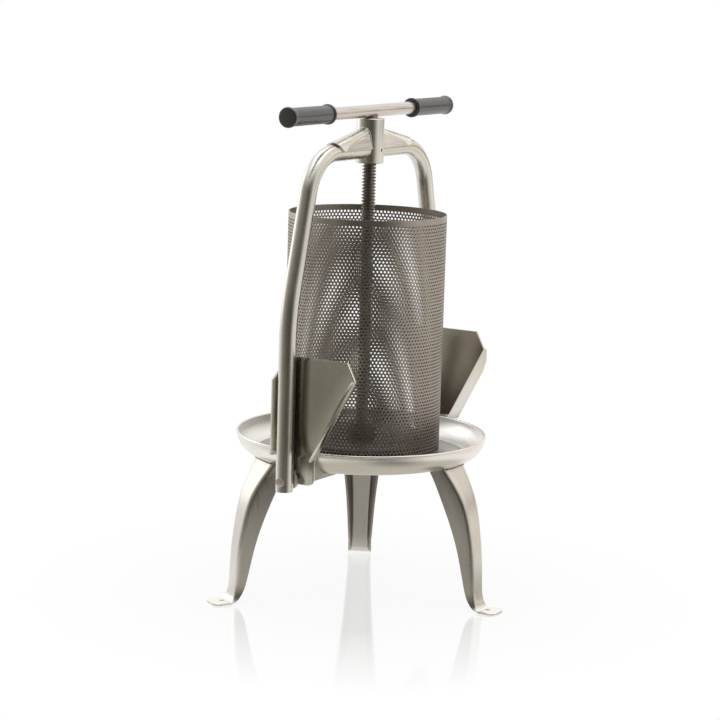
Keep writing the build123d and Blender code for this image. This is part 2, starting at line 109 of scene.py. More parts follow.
grip_finish, tree = new_finish("black_grip")
grain = noise(tree, add(tree, "TexCoord").outputs["Object"], 320.0, 3.0)
black = ramp(tree, grain, [(0.0, (0.012, 0.012, 0.012)), (1.0, (0.026, 0.026, 0.027))])
# diamond tips: wear and painted glint
tip_wear_and_glint = add(tree, "Attribute", attribute_name="tip_wear_and_glint").outputs["Fac"]
bump = add(tree, "Bump", {"Strength": 0.2, "Distance": 0.05 * mm, "Height": grain})
feed(tree, tree.nodes["Principled BSDF"], {
    "IOR": 1.6,
    "Specular IOR Level": 0.9,
    "Base Color": paint_over(tree, tip_wear_and_glint, black, (0.09, 0.09, 0.09)),
    "Roughness": remap(tree, grain, 0.0, 1.0, 0.20, 0.34),
    "Normal": bump.outputs["Normal"]})
print("grip finish:", grip_finish.name, "with", len(tree.nodes), "nodes")

# %% [markdown]
# Nearly everything else is satin stainless sheet or tube. Such steel could be one grey shader,
# but worked steel shows fine scratches in one direction and slow clouds where it was wiped. So
# the recipe mixes two noises, a stretched one and a broad one. They move the tone and the
# roughness a little, and the scratches also lift a bump. Where a mesh marks its points for polish
# or sheen, the steel is painted bright: polish on the legs, painted light on the gusset folds.
# The scratches run straight, round the axis, or along a bent pipe.

# %% A recipe for steel
def distance(tree, vector, start=(0, 0, 0)):
    return add(tree, "VectorMath", {0: vector, 1: start}, operation="DISTANCE").outputs["Value"]

def scratch_place(tree, where, grain):
    if grain == "pipe":
        # the mesh of a bent pipe says how far along the pipe each point is
        return add(tree, "Attribute", attribute_name="run").outputs["Vector"]
    if grain == "spun":
        # round the axis: only radius and height count
        flat = add(tree, "VectorMath", {0: where, 1: (1, 1, 0)}, operation="MULTIPLY")
        radius = distance(tree, flat.outputs["Vector"])
        apart = add(tree, "SeparateXYZ", {"Vector": where})
        return add(tree, "CombineXYZ", {"X": radius, "Z": apart.outputs["Z"]}).outputs["Vector"]
    return where

polish_and_sheen_bright = (0.95, 0.92, 0.875)

def steel(name, deep, pale, rough, scratch, depth=0.012, clouds=7.0, streak=0.45, grain="straight"):
    finish, tree = new_finish(name)
    where = add(tree, "TexCoord").outputs["Object"]
    stretch = add(tree, "Mapping", {"Vector": scratch_place(tree, where, grain), "Scale": scratch})
    lines = noise(tree, stretch.outputs["Vector"], 1.0, 4.0)
    wiped = noise(tree, where, clouds, 5.0)
    blend = add(tree, "Mix", {"Factor": streak, "A": wiped, "B": lines}).outputs["Result"]
    # polish on the legs, painted light on the gusset folds
    polish_and_sheen = add(tree, "Attribute", attribute_name="polish_and_sheen").outputs["Fac"]
    tone = ramp(tree, blend, [(0.36, deep), (0.64, pale)])
    bump = add(tree, "Bump", {"Strength": 0.25, "Distance": depth * mm, "Height": lines})
    feed(tree, tree.nodes["Principled BSDF"], {
        "Metallic": 1.0,
        "Base Color": paint_over(tree, polish_and_sheen, tone, polish_and_sheen_bright),
        "Roughness": remap(tree, blend, 0.3, 0.7, rough - 0.06, rough + 0.07),
        "Normal": bump.outputs["Normal"]})
    print("steel", name, "with a roughness of about", rough)
    return finish

sheet_finish = steel("satin_sheet", (0.48, 0.452, 0.408), (0.62, 0.59, 0.54), rough=0.30,
                     scratch=(420, 420, 24), depth=0.006, streak=0.35)

# %% [markdown]
# Each way of working steel leaves its own skin: rolled plate is smooth, drawn tube is streaked
# along, spun work round, and a weld burns dark. Some tones below are painted light or shade: the
# dull brown inside the leg channels, the dark press plate and the tray's dark floor are painted
# shade, the weld over each leg is dark from its burn and as painted shade in the joint, and the
# tray's pale wall inside is painted light. All could share one grey, but these small differences
# are what tells the pieces apart. Scratches are given per metre on each axis: a high number packs
# them close, a low one draws them out into lines.

# %% The steels of this press
plate_sheet_finish = steel("rolled_plate", (0.64, 0.615, 0.55), (0.75, 0.725, 0.655), rough=0.22,
                           scratch=(260, 260, 20), depth=0.003, streak=0.15)
# a darker copy of the sheet steel, as painted shade inside the leg channels
channel_shade_finish = steel("channel_shade_sheet", (0.27, 0.25, 0.225), (0.44, 0.415, 0.38), rough=0.36,
                    scratch=(420, 420, 24), depth=0.006, streak=0.35)
spun_finish = steel("spun_tray", (0.74, 0.71, 0.655), (0.88, 0.85, 0.795), rough=0.27,
                    scratch=(900, 900, 900), depth=0.006, grain="spun")
# a paler copy as painted light for the wall inside the tray, and a darker one as painted shade for
# its floor
lit_inside_finish = steel("tray_inside_lit", (0.86, 0.845, 0.825), (0.95, 0.94, 0.92), rough=0.36,
                      scratch=(700, 700, 700), depth=0.002, grain="spun")
shaded_floor_finish = steel("tray_floor_shaded", (0.33, 0.325, 0.32), (0.45, 0.44, 0.43), rough=0.24,
                    scratch=(500, 500, 500), depth=0.002, grain="spun")
tube_finish = steel("drawn_tube", (0.62, 0.595, 0.54), (0.74, 0.715, 0.66), rough=0.26,
                    scratch=(420, 420, 16), depth=0.004, streak=0.3, grain="pipe")
fold_finish = steel("folded_strip", (0.56, 0.53, 0.48), (0.82, 0.79, 0.74), rough=0.27,
                    scratch=(14, 300, 300), depth=0.005, streak=0.55)
# burnt weld, whose darkest tone is also painted shade in the joint over each leg
weld_and_joint_shade_finish = steel("burnt_weld_and_joint_shade", (0.07, 0.05, 0.04), (0.30, 0.25, 0.21), rough=0.38,
                    scratch=(500, 500, 500), depth=0.02, clouds=60.0)
handle_finish = steel("drawn_handle", (0.56, 0.525, 0.495), (0.76, 0.72, 0.69), rough=0.27,
                      scratch=(10, 520, 520), depth=0.006, streak=0.6)
hub_finish = steel("pale_hub", (0.66, 0.635, 0.58), (0.76, 0.735, 0.68), rough=0.28,
                   scratch=(300, 300, 900), depth=0.006, streak=0.3)
bright_finish = steel("bright_turned", (0.60, 0.58, 0.55), (0.72, 0.70, 0.67), rough=0.28,
                      scratch=(900, 500, 500))
basket_finish = steel("basket_sheet", (0.33, 0.298, 0.262), (0.46, 0.42, 0.378), rough=0.40,
                      scratch=(200, 200, 1200))
# painted dark, as painted shade for the plate low in the basket
shaded_plate_finish = steel("plate_steel", (0.20, 0.18, 0.16), (0.30, 0.275, 0.25), rough=0.40,
                     scratch=(700, 700, 700))
screw_finish = steel("dark_screw", (0.17, 0.15, 0.13), (0.36, 0.32, 0.285), rough=0.40,
                     scratch=(500, 500, 500), depth=0.02, clouds=30.0)

# %% [markdown]
# A bracket plate is darkened in a stripe beside the pipe, as painted shadow and reflection of the
# pipe, and on the tab below the tray, as painted shade. They could be painted on a picture of the
# plate, but both are places, so the plate's own colour is darkened by where a point is, in metres.

# %% Painted shade on the bracket plates
def place_of(tree):
    where = add(tree, "TexCoord").outputs["Object"]
    apart = add(tree, "SeparateXYZ", {"Vector": where}).outputs
    return apart["X"], apart["Y"], apart["Z"]

def rise(tree, value, start, end, top=1.0):
    # 0 before start, then a soft step up to top at end
    return remap(tree, value, start, end, 0.0, top, "SMOOTHSTEP")

def combine(tree, operation, first, second):
    return add(tree, "Math", {0: first, 1: second}, operation=operation).outputs["Value"]

def repaint(finish, factor, colour):
    tree = finish.node_tree
    base = tree.nodes["Principled BSDF"].inputs["Base Color"]
    tree.links.new(paint_over(tree, factor, base.links[0].from_socket, colour), base)

stripe_front, stripe_back, painted_shade_brown = (-0.032, -0.023), (0.013, 0.009), (0.31, 0.285, 0.245)
tab_top, tab_full, tab_shade, plate_mid, plate_outer = 0.268, 0.246, 0.7, 0.2022, 0.2040
tree = plate_sheet_finish.node_tree
to_right, to_back, up = place_of(tree)
beside_pipe = combine(tree, "MINIMUM", rise(tree, to_back, *stripe_front),
                      rise(tree, to_back, *stripe_back))
on_tab = rise(tree, up, tab_top, tab_full, tab_shade)
# X squared is the same on both sides of the press
x_squared = combine(tree, "MULTIPLY", to_right, to_right)
outer_side = rise(tree, x_squared, plate_mid**2, plate_outer**2)
# painted shadow and reflection of the pipe beside it, and painted shade on the tab, outer face only
painted_pipe_shade = combine(tree, "MULTIPLY", combine(tree, "MAXIMUM", beside_pipe, on_tab), outer_side)
repaint(plate_sheet_finish, painted_pipe_shade, painted_shade_brown)
print("dark stripes on", plate_sheet_finish.name)

# %% [markdown]
# The basket is darker towards its foot, as painted shade low in the tray. It could be painted by
# hand, but it follows the height so simply that the steel's own colour is mixed towards brown by
# the height of each point.

# %% Painted shade at the foot of the basket
shade_top, shade_full, foot_shade_brown = 0.345, 0.235, (0.135, 0.108, 0.092)
tree = basket_finish.node_tree
# painted shade: darker towards the foot of the basket
repaint(basket_finish, rise(tree, place_of(tree)[2], shade_top, shade_full), foot_shade_brown)
print("the stain runs from", shade_top, "m down to", shade_full, "m")

# %% [markdown]
# ## From points to pieces
# Every piece below ends the same way: points and faces become a mesh, doubled points are welded,
# the faces are turned outwards, and the shading is smooth except at real edges. Edit mode has a
# command for each of these steps. Here helpers run them, and the last one also says which body
# carries the piece and which solid it stands for. It is handed a finish slot too, but doesn't use
# it.

# %% Helpers that make a piece
crease_angle = 32.0

def clean_mesh(name, points, faces):
    mesh = bpy.data.meshes.new(name)
    mesh.from_pydata([tuple(p) for p in points], [], [tuple(f) for f in faces])
    work = bmesh.new()
    work.from_mesh(mesh)
    bmesh.ops.remove_doubles(work, verts=work.verts, dist=0.002 * mm)
    bmesh.ops.recalc_face_normals(work, faces=work.faces)
    work.to_mesh(mesh)
    work.free()
    return mesh

def smooth(mesh, crease):
    mesh.shade_smooth()
    mesh.set_sharp_from_angle(angle=math.radians(crease))

def place_piece(name, mesh, finish, body, slot, stands_for=(), crease=crease_angle):
    mesh.materials.append(finish)
    smooth(mesh, crease)
    piece = bpy.data.objects.new(name, mesh)
    bpy.context.scene.collection.objects.link(piece)
    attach(piece, body)
    if stands_for:
        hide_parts(*stands_for)
    print(name, "has", len(mesh.vertices), "points and", len(mesh.polygons), "faces")
    return piece

def make_piece(name, points, faces, *rest):
    return place_piece(name, clean_mesh(name, points, faces), *rest)

print("edges sharper than", crease_angle, "degrees stay crisp")

# %% [markdown]
# ## The tray
# The tray is a spun dish: a flat floor, a quarter-round wall and a narrow rolled rim. Turned work
# could be a Screw modifier on a drawn line. Here a function turns a list of radius and height
# pairs about Z, because the same function then serves for the hub, the plate and the spacers too.

# %% Turn a profile about Z
def turned(profile, steps, closed=True):
    count = len(profile)
    points = []
    for k in range(steps):
        a = 2 * math.pi * k / steps
        points += [(r * math.cos(a) * mm, r * math.sin(a) * mm, z * mm) for r, z in profile]
    faces = []
    for k in range(steps):
        a, b = k * count, (k + 1) % steps * count
        for i in range(count if closed else count - 1):
            j = (i + 1) % count
            faces.append((a + i, b + i, b + j, a + j))
    return points, faces

def arc(cx, cz, radius, start, end, steps):
    angles = [math.radians(start + (end - start) * k / steps) for k in range(steps + 1)]
    return [(cx + radius * math.cos(t), cz + radius * math.sin(t)) for t in angles]

tray_under, tray_sheet, floor_radii = 222, 2, [0, 60, 120]
wall_r, wall_z, wall_bend = 164.5, 256, 34
rim_r, rim_z, rim_round = 198.1, 256.2, 1.9
tray_line = [(r, tray_under) for r in floor_radii] + arc(wall_r, wall_z, wall_bend, -90, -3, 16)
tray_line += arc(rim_r, rim_z, rim_round, -60, 180, 14)
tray_line += arc(wall_r, wall_z, wall_bend - tray_sheet, 0, -90, 16)
tray_line += [(r, tray_under + tray_sheet) for r in floor_radii[::-1]]
tray = make_piece("tray_dish", *turned(tray_line, 160, False), spun_finish,
                  "frame", "sheet_steel", ["tray"])

# %% [markdown]
# The outside of the tray is satin. The wall inside is painted almost white, as painted light and
# reflection, and the floor is painted dark, as painted shade and reflection of the basket. Two more
# tray meshes would overlap the first, so the same mesh gets three materials, and each face takes
# one by the way it looks.

# %% Painted light on the wall and painted shade on the floor inside the tray
rim_from = 196.6
tray.data.materials.append(lit_inside_finish)
tray.data.materials.append(shaded_floor_finish)
for face in tray.data.polygons:
    inward = -(face.normal.x * face.center.x + face.normal.y * face.center.y)
    looks_in = inward > 0.002 or face.normal.z > 0.9
    if face.center.xy.length < rim_from * mm and looks_in:
        face.material_index = 2 if face.normal.z > 0.985 else 1
print("faces of the wall and of the floor inside:",
      [sum(face.material_index == k for face in tray.data.polygons) for k in (1, 2)])

# %% [markdown]
# ## The legs
# Each leg is a pressed channel: an S-curved face, two flat flanges that open towards the press
# axis, and a foot pad where the flanges run out. A box with bevels would lose the press-tool look,
# so the leg is a loft. Two side-view curves come first, one for the face and one for the edge of
# the flange, and between them lie the stations at which the leg's section will be drawn.

# %% Side-view curves of the leg
def curve(knots, start, end, steps):
    # a smooth line through the knots that leaves and arrives in the given directions
    knots = [np.array(k, float) for k in knots]
    spans = [np.linalg.norm(b - a) for a, b in zip(knots, knots[1:])]
    slopes = [np.array(start, float) / np.linalg.norm(start)]
    for a, b, c, p, q in zip(knots, knots[1:], knots[2:], spans, spans[1:]):
        slopes.append(((b - a) / p * q + (c - b) / q * p) / (p + q))
    slopes.append(np.array(end, float) / np.linalg.norm(end))
    line = []
    for a, b, m, n, span in zip(knots, knots[1:], slopes, slopes[1:], spans):
        for t in np.linspace(0, 1, steps, endpoint=False):
            line.append(a * (2 * t**3 - 3 * t**2 + 1) + b * (3 * t**2 - 2 * t**3)
                        + m * span * (t**3 - 2 * t**2 + t) + n * span * (t**3 - t**2))
    return line + [knots[-1]]

leg_sheet, pad_half, tip_from, tip_round = 3.0, 19.5, 249.5, 12.5
face_down, edge_down, level = (0.05, -1), (0.22, -1), (1, 0)
leg_face = curve([(172.6, 222.8), (203.3, 170), (217.5, 110), (224, 32)], (0.66, -1), face_down, 8)
leg_face += curve([(224, 32), (236, leg_sheet)], face_down, level, 9)[1:]
leg_edge = curve([(147.2, 222), (170, 170), (191.3, 110), (208.8, 32)], (0.55, -1), edge_down, 8)
leg_edge += curve([(208.8, 32), (236, 0)], edge_down, level, 9)[1:]

def leg_half_width(radius):
    # the flanges close in towards the foot and the pad opens out: a soft maximum of the two
    flange, pad = 82.5 - 0.30 * radius, min(pad_half, 14.4 + 0.37 * (radius - 226))
    return (flange + pad) / 2 + math.hypot((flange - pad) / 2, 0.5)

leg_stations = [(tuple(f), tuple(e), leg_half_width(f[0]), max(leg_half_width(e[0]), pad_half))
                for f, e in zip(leg_face, leg_edge)]
leg_stations += [((r, leg_sheet), (r, 0.0), leg_half_width(r), leg_half_width(r))
                 for r in (238, 240.5, 245)]
for turn in np.linspace(0, math.pi / 2 * 0.98, 9):
    reach, half = tip_from + tip_round * math.sin(turn), pad_half - tip_round * (1 - math.cos(turn))
    leg_stations.append(((reach, leg_sheet), (reach, 0.0), half, half))
print("a leg has", len(leg_stations), "stations")

# %% [markdown]
# A press tool can't fold sheet sharply, so every section of the leg is a U with wide bends at its
# corners. It could be a plain U with a Bevel modifier, but the bend has to shrink as the flanges
# run out at the foot. So the section is worked out point by point, outside and inside of the sheet.

# %% The U at one station
tool_bend = 9.0

def bend_points(half, lean, radius, inset):
    # the rounded corner between the face (depth = inset) and a flange that leans out by an angle
    reach = radius * math.tan((math.pi / 2 - lean) / 2)
    centre = (inset + radius, half - reach)
    turn = np.linspace(math.pi, math.pi / 2 + lean, 6)
    return [(centre[0] + radius * math.cos(t), centre[1] + radius * math.sin(t)) for t in turn]

def halfway(a, b):
    return (a[0] + b[0]) / 2, (a[1] + b[1]) / 2

def leg_section(face, edge, face_half, edge_half):
    depth = math.dist(face, edge)
    lean = math.atan2(edge_half - face_half, depth)
    sheet = min(leg_sheet, depth)
    across = sheet / math.cos(lean)
    bend = min(tool_bend, depth * 0.6)
    inner_half = face_half - across + sheet * math.tan(lean)
    corner = bend_points(face_half, lean, bend, 0.0)
    inner = bend_points(inner_half, lean, max(bend - leg_sheet, 0.05), sheet)
    end, back_end = (depth, edge_half), (depth, edge_half - across)
    middle = face_half * 0.3
    side = [end, halfway(end, corner[-1])] + corner[::-1] + [(0.0, middle)]
    back = [(sheet, middle)] + [(min(d, depth), w) for d, w in inner]
    back += [halfway(back_end, back[-1]), back_end]
    outline = [(-w, d) for d, w in side] + [(w, d) for d, w in side[::-1]]
    outline += [(w, d) for d, w in back[::-1]] + [(-w, d) for d, w in back]
    dr, dz = (edge[0] - face[0]) / depth, (edge[1] - face[1]) / depth
    return [(face[0] + dr * d, w, face[1] + dz * d) for w, d in outline]

leg_rings = [leg_section(*station) for station in leg_stations]
print("each U has", len(leg_rings[0]), "points")

# %% [markdown]
# The sections now become skins. Blender bridges loops by hand with Bridge Edge Loops, and the
# loft below does just that for a whole list of rings, and closes both ends. One leg is drawn along
# X and turned about the press axis to its three places.

# %% Loft the three legs
def loft(rings, capped=True):
    count = len(rings[0])
    points = [p for ring in rings for p in ring]
    faces = [(k + i, k + (i + 1) % count, k + count + (i + 1) % count, k + count + i)
             for k in range(0, (len(rings) - 1) * count, count) for i in range(count)]
    if capped:
        last = (len(rings) - 1) * count
        faces += [tuple(range(count)), tuple(range(last + count - 1, last - 1, -1))]
    return points, faces

def turn_about_z(ring, azimuth):
    c, s = math.cos(math.radians(azimuth)), math.sin(math.radians(azimuth))
    return [((x * c - y * s) * mm, (x * s + y * c) * mm, z * mm) for x, y, z in ring]

leg_azimuths = {"front": -90, "right": 30, "left": 150}
legs = {}
for name, azimuth in leg_azimuths.items():
    shape = loft([turn_about_z(ring, azimuth) for ring in leg_rings])
    legs[name] = make_piece("leg_" + name + "_pressing", *shape, sheet_finish,
                            "frame", "sheet_steel", ["leg_" + name])

# %% [markdown]
# Every foot pad is punched for a bolt. The hole could be left to a Boolean modifier, but a
# modifier stays on the object and hides what the mesh is. So the Boolean is baked: its result
# becomes the leg's own mesh, and the punch is thrown away.

# %% Punch the feet
def bake(piece):
    bpy.context.view_layer.update()
    shown = piece.evaluated_get(bpy.context.evaluated_depsgraph_get())
    result = bpy.data.meshes.new_from_object(shown)
    piece.modifiers.clear()
    old, piece.data = piece.data, result
    result.name = piece.name
    bpy.data.meshes.remove(old)

def boolean(piece, points, faces, operation):
    tool_mesh = clean_mesh("tool", points, faces)
    tool = bpy.data.objects.new("tool", tool_mesh)
    bpy.context.scene.collection.objects.link(tool)
    step = piece.modifiers.new("tool", "BOOLEAN")
    step.operation, step.solver, step.object = operation, "EXACT", tool
    bake(piece)
    bpy.data.objects.remove(tool)
    bpy.data.meshes.remove(tool_mesh)

def cut(piece, points, faces):
    boolean(piece, points, faces, "DIFFERENCE")
    smooth(piece.data, crease_angle)

def full_turn(steps):
    return np.linspace(0, 2 * math.pi, steps + 1)[:-1]

hole_at, hole_r = 241, 4.5
punch = [[(hole_at + hole_r * math.cos(t), hole_r * math.sin(t), z) for t in full_turn(32)]
         for z in (-2, 6)]
for name, azimuth in leg_azimuths.items():
    cut(legs[name], *loft([turn_about_z(ring, azimuth) for ring in punch]))
    print(legs[name].name, "after its foot hole:", len(legs[name].data.polygons), "faces")

# %% [markdown]
# The faces of the legs and the pads are polished, the flanges are plain satin, and inside the
# channel the steel is painted dull brown, as painted shade. Polish fades softly, so it is a value
# on each point. The painted shade ends at an edge, so it is a second material on the faces that
# look inward.

# %% Polish outside, painted shade inside
pad_from, pad_fade, face_polish = 224, 9, 0.30

def clamp(value):
    return min(max(value, 0.0), 1.0)

for name, azimuth in leg_azimuths.items():
    leg = legs[name].data
    turn = math.radians(azimuth)
    across = Vector((-math.sin(turn), math.cos(turn), 0))
    outward = Vector((across.y, -across.x, 0))
    polish_and_sheen = leg.attributes.new("polish_and_sheen", "FLOAT", "POINT")
    for point, mark in zip(leg.vertices, polish_and_sheen.data):
        on_face = clamp((0.8 - abs(point.normal.dot(across))) / 0.5)
        on_pad = clamp((point.co.xy.length / mm - pad_from) / pad_fade)
        mark.value = max(on_pad, face_polish * on_face)
    # the inward faces of the channel take the painted shade
    leg.materials.append(channel_shade_finish)
    for face in leg.polygons:
        sideways = face.normal.dot(across)
        lean_in = sideways * face.center.dot(across) < -0.0005
        faces_in = face.normal.dot(outward) < -0.25 and abs(sideways) < 0.7
        above_pad = face.center.xy.length / mm < pad_from
        face.material_index = int((lean_in or faces_in) and above_pad)
    print(leg.name, "has a mill skin on", sum(f.material_index for f in leg.polygons), "faces")

# %% [markdown]
# ## The yoke
# The yoke is two lengths of pipe, each bent twice and welded to the hub: a tight bend at the
# shoulder and a wide one at the knee. The centre line is drawn first, as straight runs and arcs
# that meet smoothly. Each of its points also keeps the direction of the pipe, because a ring set
# square to that direction keeps the pipe round in its bends.

# %% The centre line of a pipe
pipe_from, pipe_x, pipe_foot, top_z, knee_z = 14.0, 222.95, 198.5, 708.0, 469.0
lean, shoulder_r, knee_r = math.radians(14.2), 75, 350

def pipe_line():
    run = shoulder_r * math.tan((math.pi / 2 - lean) / 2)
    knee = knee_r * math.tan(lean / 2)
    bend_x = pipe_x - (top_z - knee_z) * math.tan(lean) - run
    line = [(x, top_z, 0.0) for x in np.linspace(pipe_from, bend_x, 8)[:-1]]
    line += [(bend_x + shoulder_r * math.sin(t), top_z - shoulder_r + shoulder_r * math.cos(t), t)
             for t in np.linspace(0, math.pi / 2 - lean, 25)]
    line += [(pipe_x - knee_r + knee_r * math.cos(t), knee_z - knee + knee_r * math.sin(t),
              math.pi / 2 - t) for t in np.linspace(lean, 0, 13)]
    line += [(pipe_x, z, math.pi / 2) for z in np.linspace(knee_z - knee, pipe_foot, 8)[1:]]
    return line

yoke_line = pipe_line()
yoke_run = np.cumsum([0.0] + [math.dist(a[:2], b[:2]) for a, b in zip(yoke_line, yoke_line[1:])])
print("each pipe is", round(yoke_run[-1]), "mm long")

# %% [markdown]
# A bevelled curve would give the outside of the pipe only. The lower ends are cut square and open,
# so a ring is swept along the centre line twice, once for the outside and once for the bore, and
# the ends are closed between them.

# %% Sweep the bent pipes
pipe_outer, pipe_bore = 13.45, 10.85

def pipe(line, side):
    def ring(x, z, t, r):
        return [(side * (x + r * math.cos(a) * math.sin(t)) * mm, r * math.sin(a) * mm,
                 (z + r * math.cos(a) * math.cos(t)) * mm) for a in full_turn(40)]
    rings = [ring(*line[-1], pipe_bore)]
    rings += [ring(*place, pipe_outer) for place in line[::-1]]
    rings += [ring(*place, pipe_bore) for place in line]
    return loft(rings, capped=False)

yoke_sides = {"left": -1, "right": 1}
yoke_pipes = {}
for name, side in yoke_sides.items():
    yoke_pipes[name] = make_piece("yoke_" + name + "_pipe", *pipe(yoke_line, side), tube_finish,
                                  "frame", "tube_steel", ["yoke_" + name], 45.0)

# %% [markdown]
# Drawn tube is scratched along its length, round the bends too. Straight object coordinates would
# cut across the bends, and unwrapped UVs would need a seam. So each point of the pipe stores its
# own place: across the pipe on two axes, and the distance along it on the third.

# %% Let the grain follow the pipe
def grain_along(piece, side):
    centres = np.array([(side * x, z) for x, z, t in yoke_line]) * mm
    run = piece.data.attributes.new("run", "FLOAT_VECTOR", "POINT")
    for point, mark in zip(piece.data.vertices, run.data):
        off = np.array((point.co.x, point.co.z)) - centres
        near = int(np.argmin((off**2).sum(axis=1)))
        t = yoke_line[near][2]
        out = off[near] @ np.array((side * math.sin(t), math.cos(t)))
        mark.vector = (point.co.y, out, yoke_run[near] * mm)

for name, side in yoke_sides.items():
    grain_along(yoke_pipes[name], side)
    print(yoke_pipes[name].name, "has its grain along the pipe")

# %% [markdown]
# ## The hub and its gussets
# The hub is a plain turned sleeve with softened edges, and an oil hole with a countersink in
# front. The rounded edges could be a Bevel modifier, but they are part of the turned profile, so
# they are drawn there. The oil hole is one more cut, by a tool shaped like a countersink bit.

# %% Turn the hub
hub_outer, hub_bore, hub_low, hub_high, hub_round, bore_round = 22, 11.5, 687, 757, 1.4, 0.8
in_r, out_r = hub_bore + bore_round, hub_outer - hub_round
hub_line = arc(in_r, hub_low + bore_round, bore_round, 180, 270, 3)
hub_line += arc(out_r, hub_low + hub_round, hub_round, -90, 0, 5)
hub_line += arc(out_r, hub_high - hub_round, hub_round, 0, 90, 5)
hub_line += arc(in_r, hub_high - bore_round, bore_round, 90, 180, 3)
hub = make_piece("hub_sleeve", *turned(hub_line, 72), hub_finish, "frame", "tube_steel", ["hub"])
bit_rings = [(4.2, -26), (2.0, -20.4), (2.0, -8)]
oil_hole = [[(r * math.cos(t) * mm, y * mm, (top_z + r * math.sin(t)) * mm) for t in full_turn(24)]
            for r, y in bit_rings]
cut(hub, *loft(oil_hole))
print("the hub with its oil hole has", len(hub.data.polygons), "faces")

# %% [markdown]
# The gussets are folded from one strip each: a rounded ridge that falls away from the hub, and
# two cheeks that clasp the pipe. A solid wedge would show no sheet from below. So an inverted U is
# drawn for every X, and its cheeks lean so that they touch the ridge's round without a kink.

# %% The fold at one place
fold_from, fold_run, ridge_high, ridge_fall, ridge_bend = 22, 91, 743.0, 19.05, 11.5
ridge_opens, hub_crease, cheek_half, fold_sheet, fold_foot = 4.45, 0.8, 16.0, 2.5, 705.0
filled_from, fill_half, fill_top, fill_bend = 80, 13.4, 721.3, 13.3

def ridge_at(x):
    return ridge_high - (x - fold_from) * ridge_fall / fold_run

def fold_line(half, top, bend, crease=0.0):
    # from the foot up a leaning cheek, over the rounded ridge and down again
    centre, foot = top - bend, fold_foot
    reach = math.hypot(half, foot - centre)
    start = math.atan2(foot - centre, half) + math.acos(min(1.0, bend / reach))
    turn = [(bend * math.cos(t), centre + bend * math.sin(t))
            for t in np.linspace(start, math.pi / 2, 9)]
    (y, z), dip = turn[0], bend - crease
    right = [(half, foot), halfway((half, foot), (y, z))]
    right += [(y + (half - y) * 0.03, z + (foot - z) * 0.03)]
    right += [(dip * math.cos(start), centre + dip * math.sin(start))] + turn[1:]
    return right + [(-y, z) for y, z in right[::-1]]

def fold_section(x):
    share = clamp((x - fold_from) / fold_run)
    bend = ridge_bend + ridge_opens * share
    outline = fold_line(cheek_half, ridge_at(x), bend, hub_crease * (1 - share))
    if x < filled_from:
        inner = ridge_at(x) - fold_sheet
        outline += fold_line(cheek_half - fold_sheet, inner, bend - fold_sheet)[::-1]
    else:
        # near its end the fold is filled with weld, so its inside follows the pipe
        outline += fold_line(fill_half, fill_top, fill_bend)[::-1]
    return [(x, y, z) for y, z in outline]

print("the ridge falls from", ridge_at(fold_from), "to", ridge_at(fold_from + fold_run), "mm")

# %% [markdown]
# The folds are lofted along X and start inside the hub, so that no seam opens there. Their ends
# are cut on a slant and their feet level, as a saw does it. The right fold is painted much brighter
# than the left, as painted light from the right side, so each mesh says how much it takes.

# %% Fold the gussets
def both_sides(outline, side, half=30):
    # an outline in X and Z, stretched across the press
    return loft([[(side * x * mm, y * mm, z * mm) for x, z in outline] for y in (-half, half)])

end_cut = [(98, 700), (98, 708), (113, 723.95), (125, 736.7), (140, 736.7), (140, 700)]
foot_cut = [(0, 695), (140, 695), (140, 710), (0, 710)]
fold_painted_light = {"left": 0.05, "right": 0.85}
for name, side in yoke_sides.items():
    rings = [[(side * x * mm, y * mm, z * mm) for x, y, z in fold_section(x)]
             for x in np.linspace(15, 127, 17)]
    fold = make_piece("gusset_" + name + "_fold", *loft(rings), fold_finish,
                      "frame", "tube_steel", ["gusset_" + name])
    cut(fold, *both_sides(end_cut, side))
    cut(fold, *both_sides(foot_cut, side))
    # painted light: the right fold painted bright, the left one hardly
    polish_and_sheen = fold.data.attributes.new("polish_and_sheen", "FLOAT", "POINT")
    for mark in polish_and_sheen.data:
        mark.value = fold_painted_light[name]
    print(fold.name, "after its slanted end:", len(fold.data.polygons), "faces")

# %% [markdown]
# A weld bead runs round each joint between hub and fold. A smooth tube would look like a wire
# laid there. A bead is a chain of frozen puddles, so a small ring is swept along the seam, and it
# swells and shrinks a little at every puddle.

# %% Lay the weld beads at the hub
def bead(path, radius, puddle=2.6):
    path = [Vector(p) for p in path]
    travelled, rings = 0.0, []
    for k, point in enumerate(path):
        forward = (path[min(k + 1, len(path) - 1)] - path[max(k - 1, 0)]).normalized()
        travelled += (point - path[k - 1]).length if k else 0.0
        side_way = forward.cross(Vector((0.3, 0.2, 0.93))).normalized()
        up_way = side_way.cross(forward)
        size = radius * (0.88 + 0.16 * abs(math.sin(math.pi * travelled / puddle)))
        ring = [point + side_way * math.cos(t) * size + up_way * math.sin(t) * size
                for t in full_turn(8)]
        rings.append([tuple(p * mm) for p in ring])
    return loft(rings)

def even_steps(line, count):
    run = np.cumsum([0.0] + [math.dist(a, b) for a, b in zip(line, line[1:])])
    return [tuple(np.interp(s, run, [p[i] for p in line]) for i in range(2))
            for s in np.linspace(0, run[-1], count)]

bead_foot, bead_out, bead_r = 706, 0.4, 1.2
seam = [p for p in fold_line(cheek_half, ridge_high, ridge_bend) if p[1] > bead_foot]
seam = even_steps(seam, 90)
for name, side in yoke_sides.items():
    path = [(side * (math.sqrt(hub_outer**2 - y * y) + bead_out), y, z) for y, z in seam]
    make_piece("weld_hub_" + name, *bead(path, bead_r), hub_finish, "frame", "tube_steel")

# %% [markdown]
# ## Brackets, strap and pivots
# Each bracket is one laser-cut plate with a back lip and a slanted front lip, folded outwards so
# that the yoke's foot can stand between them. Three loose boxes would cross inside one another,
# so three slabs are joined by a Boolean, which gives the bracket one skin.

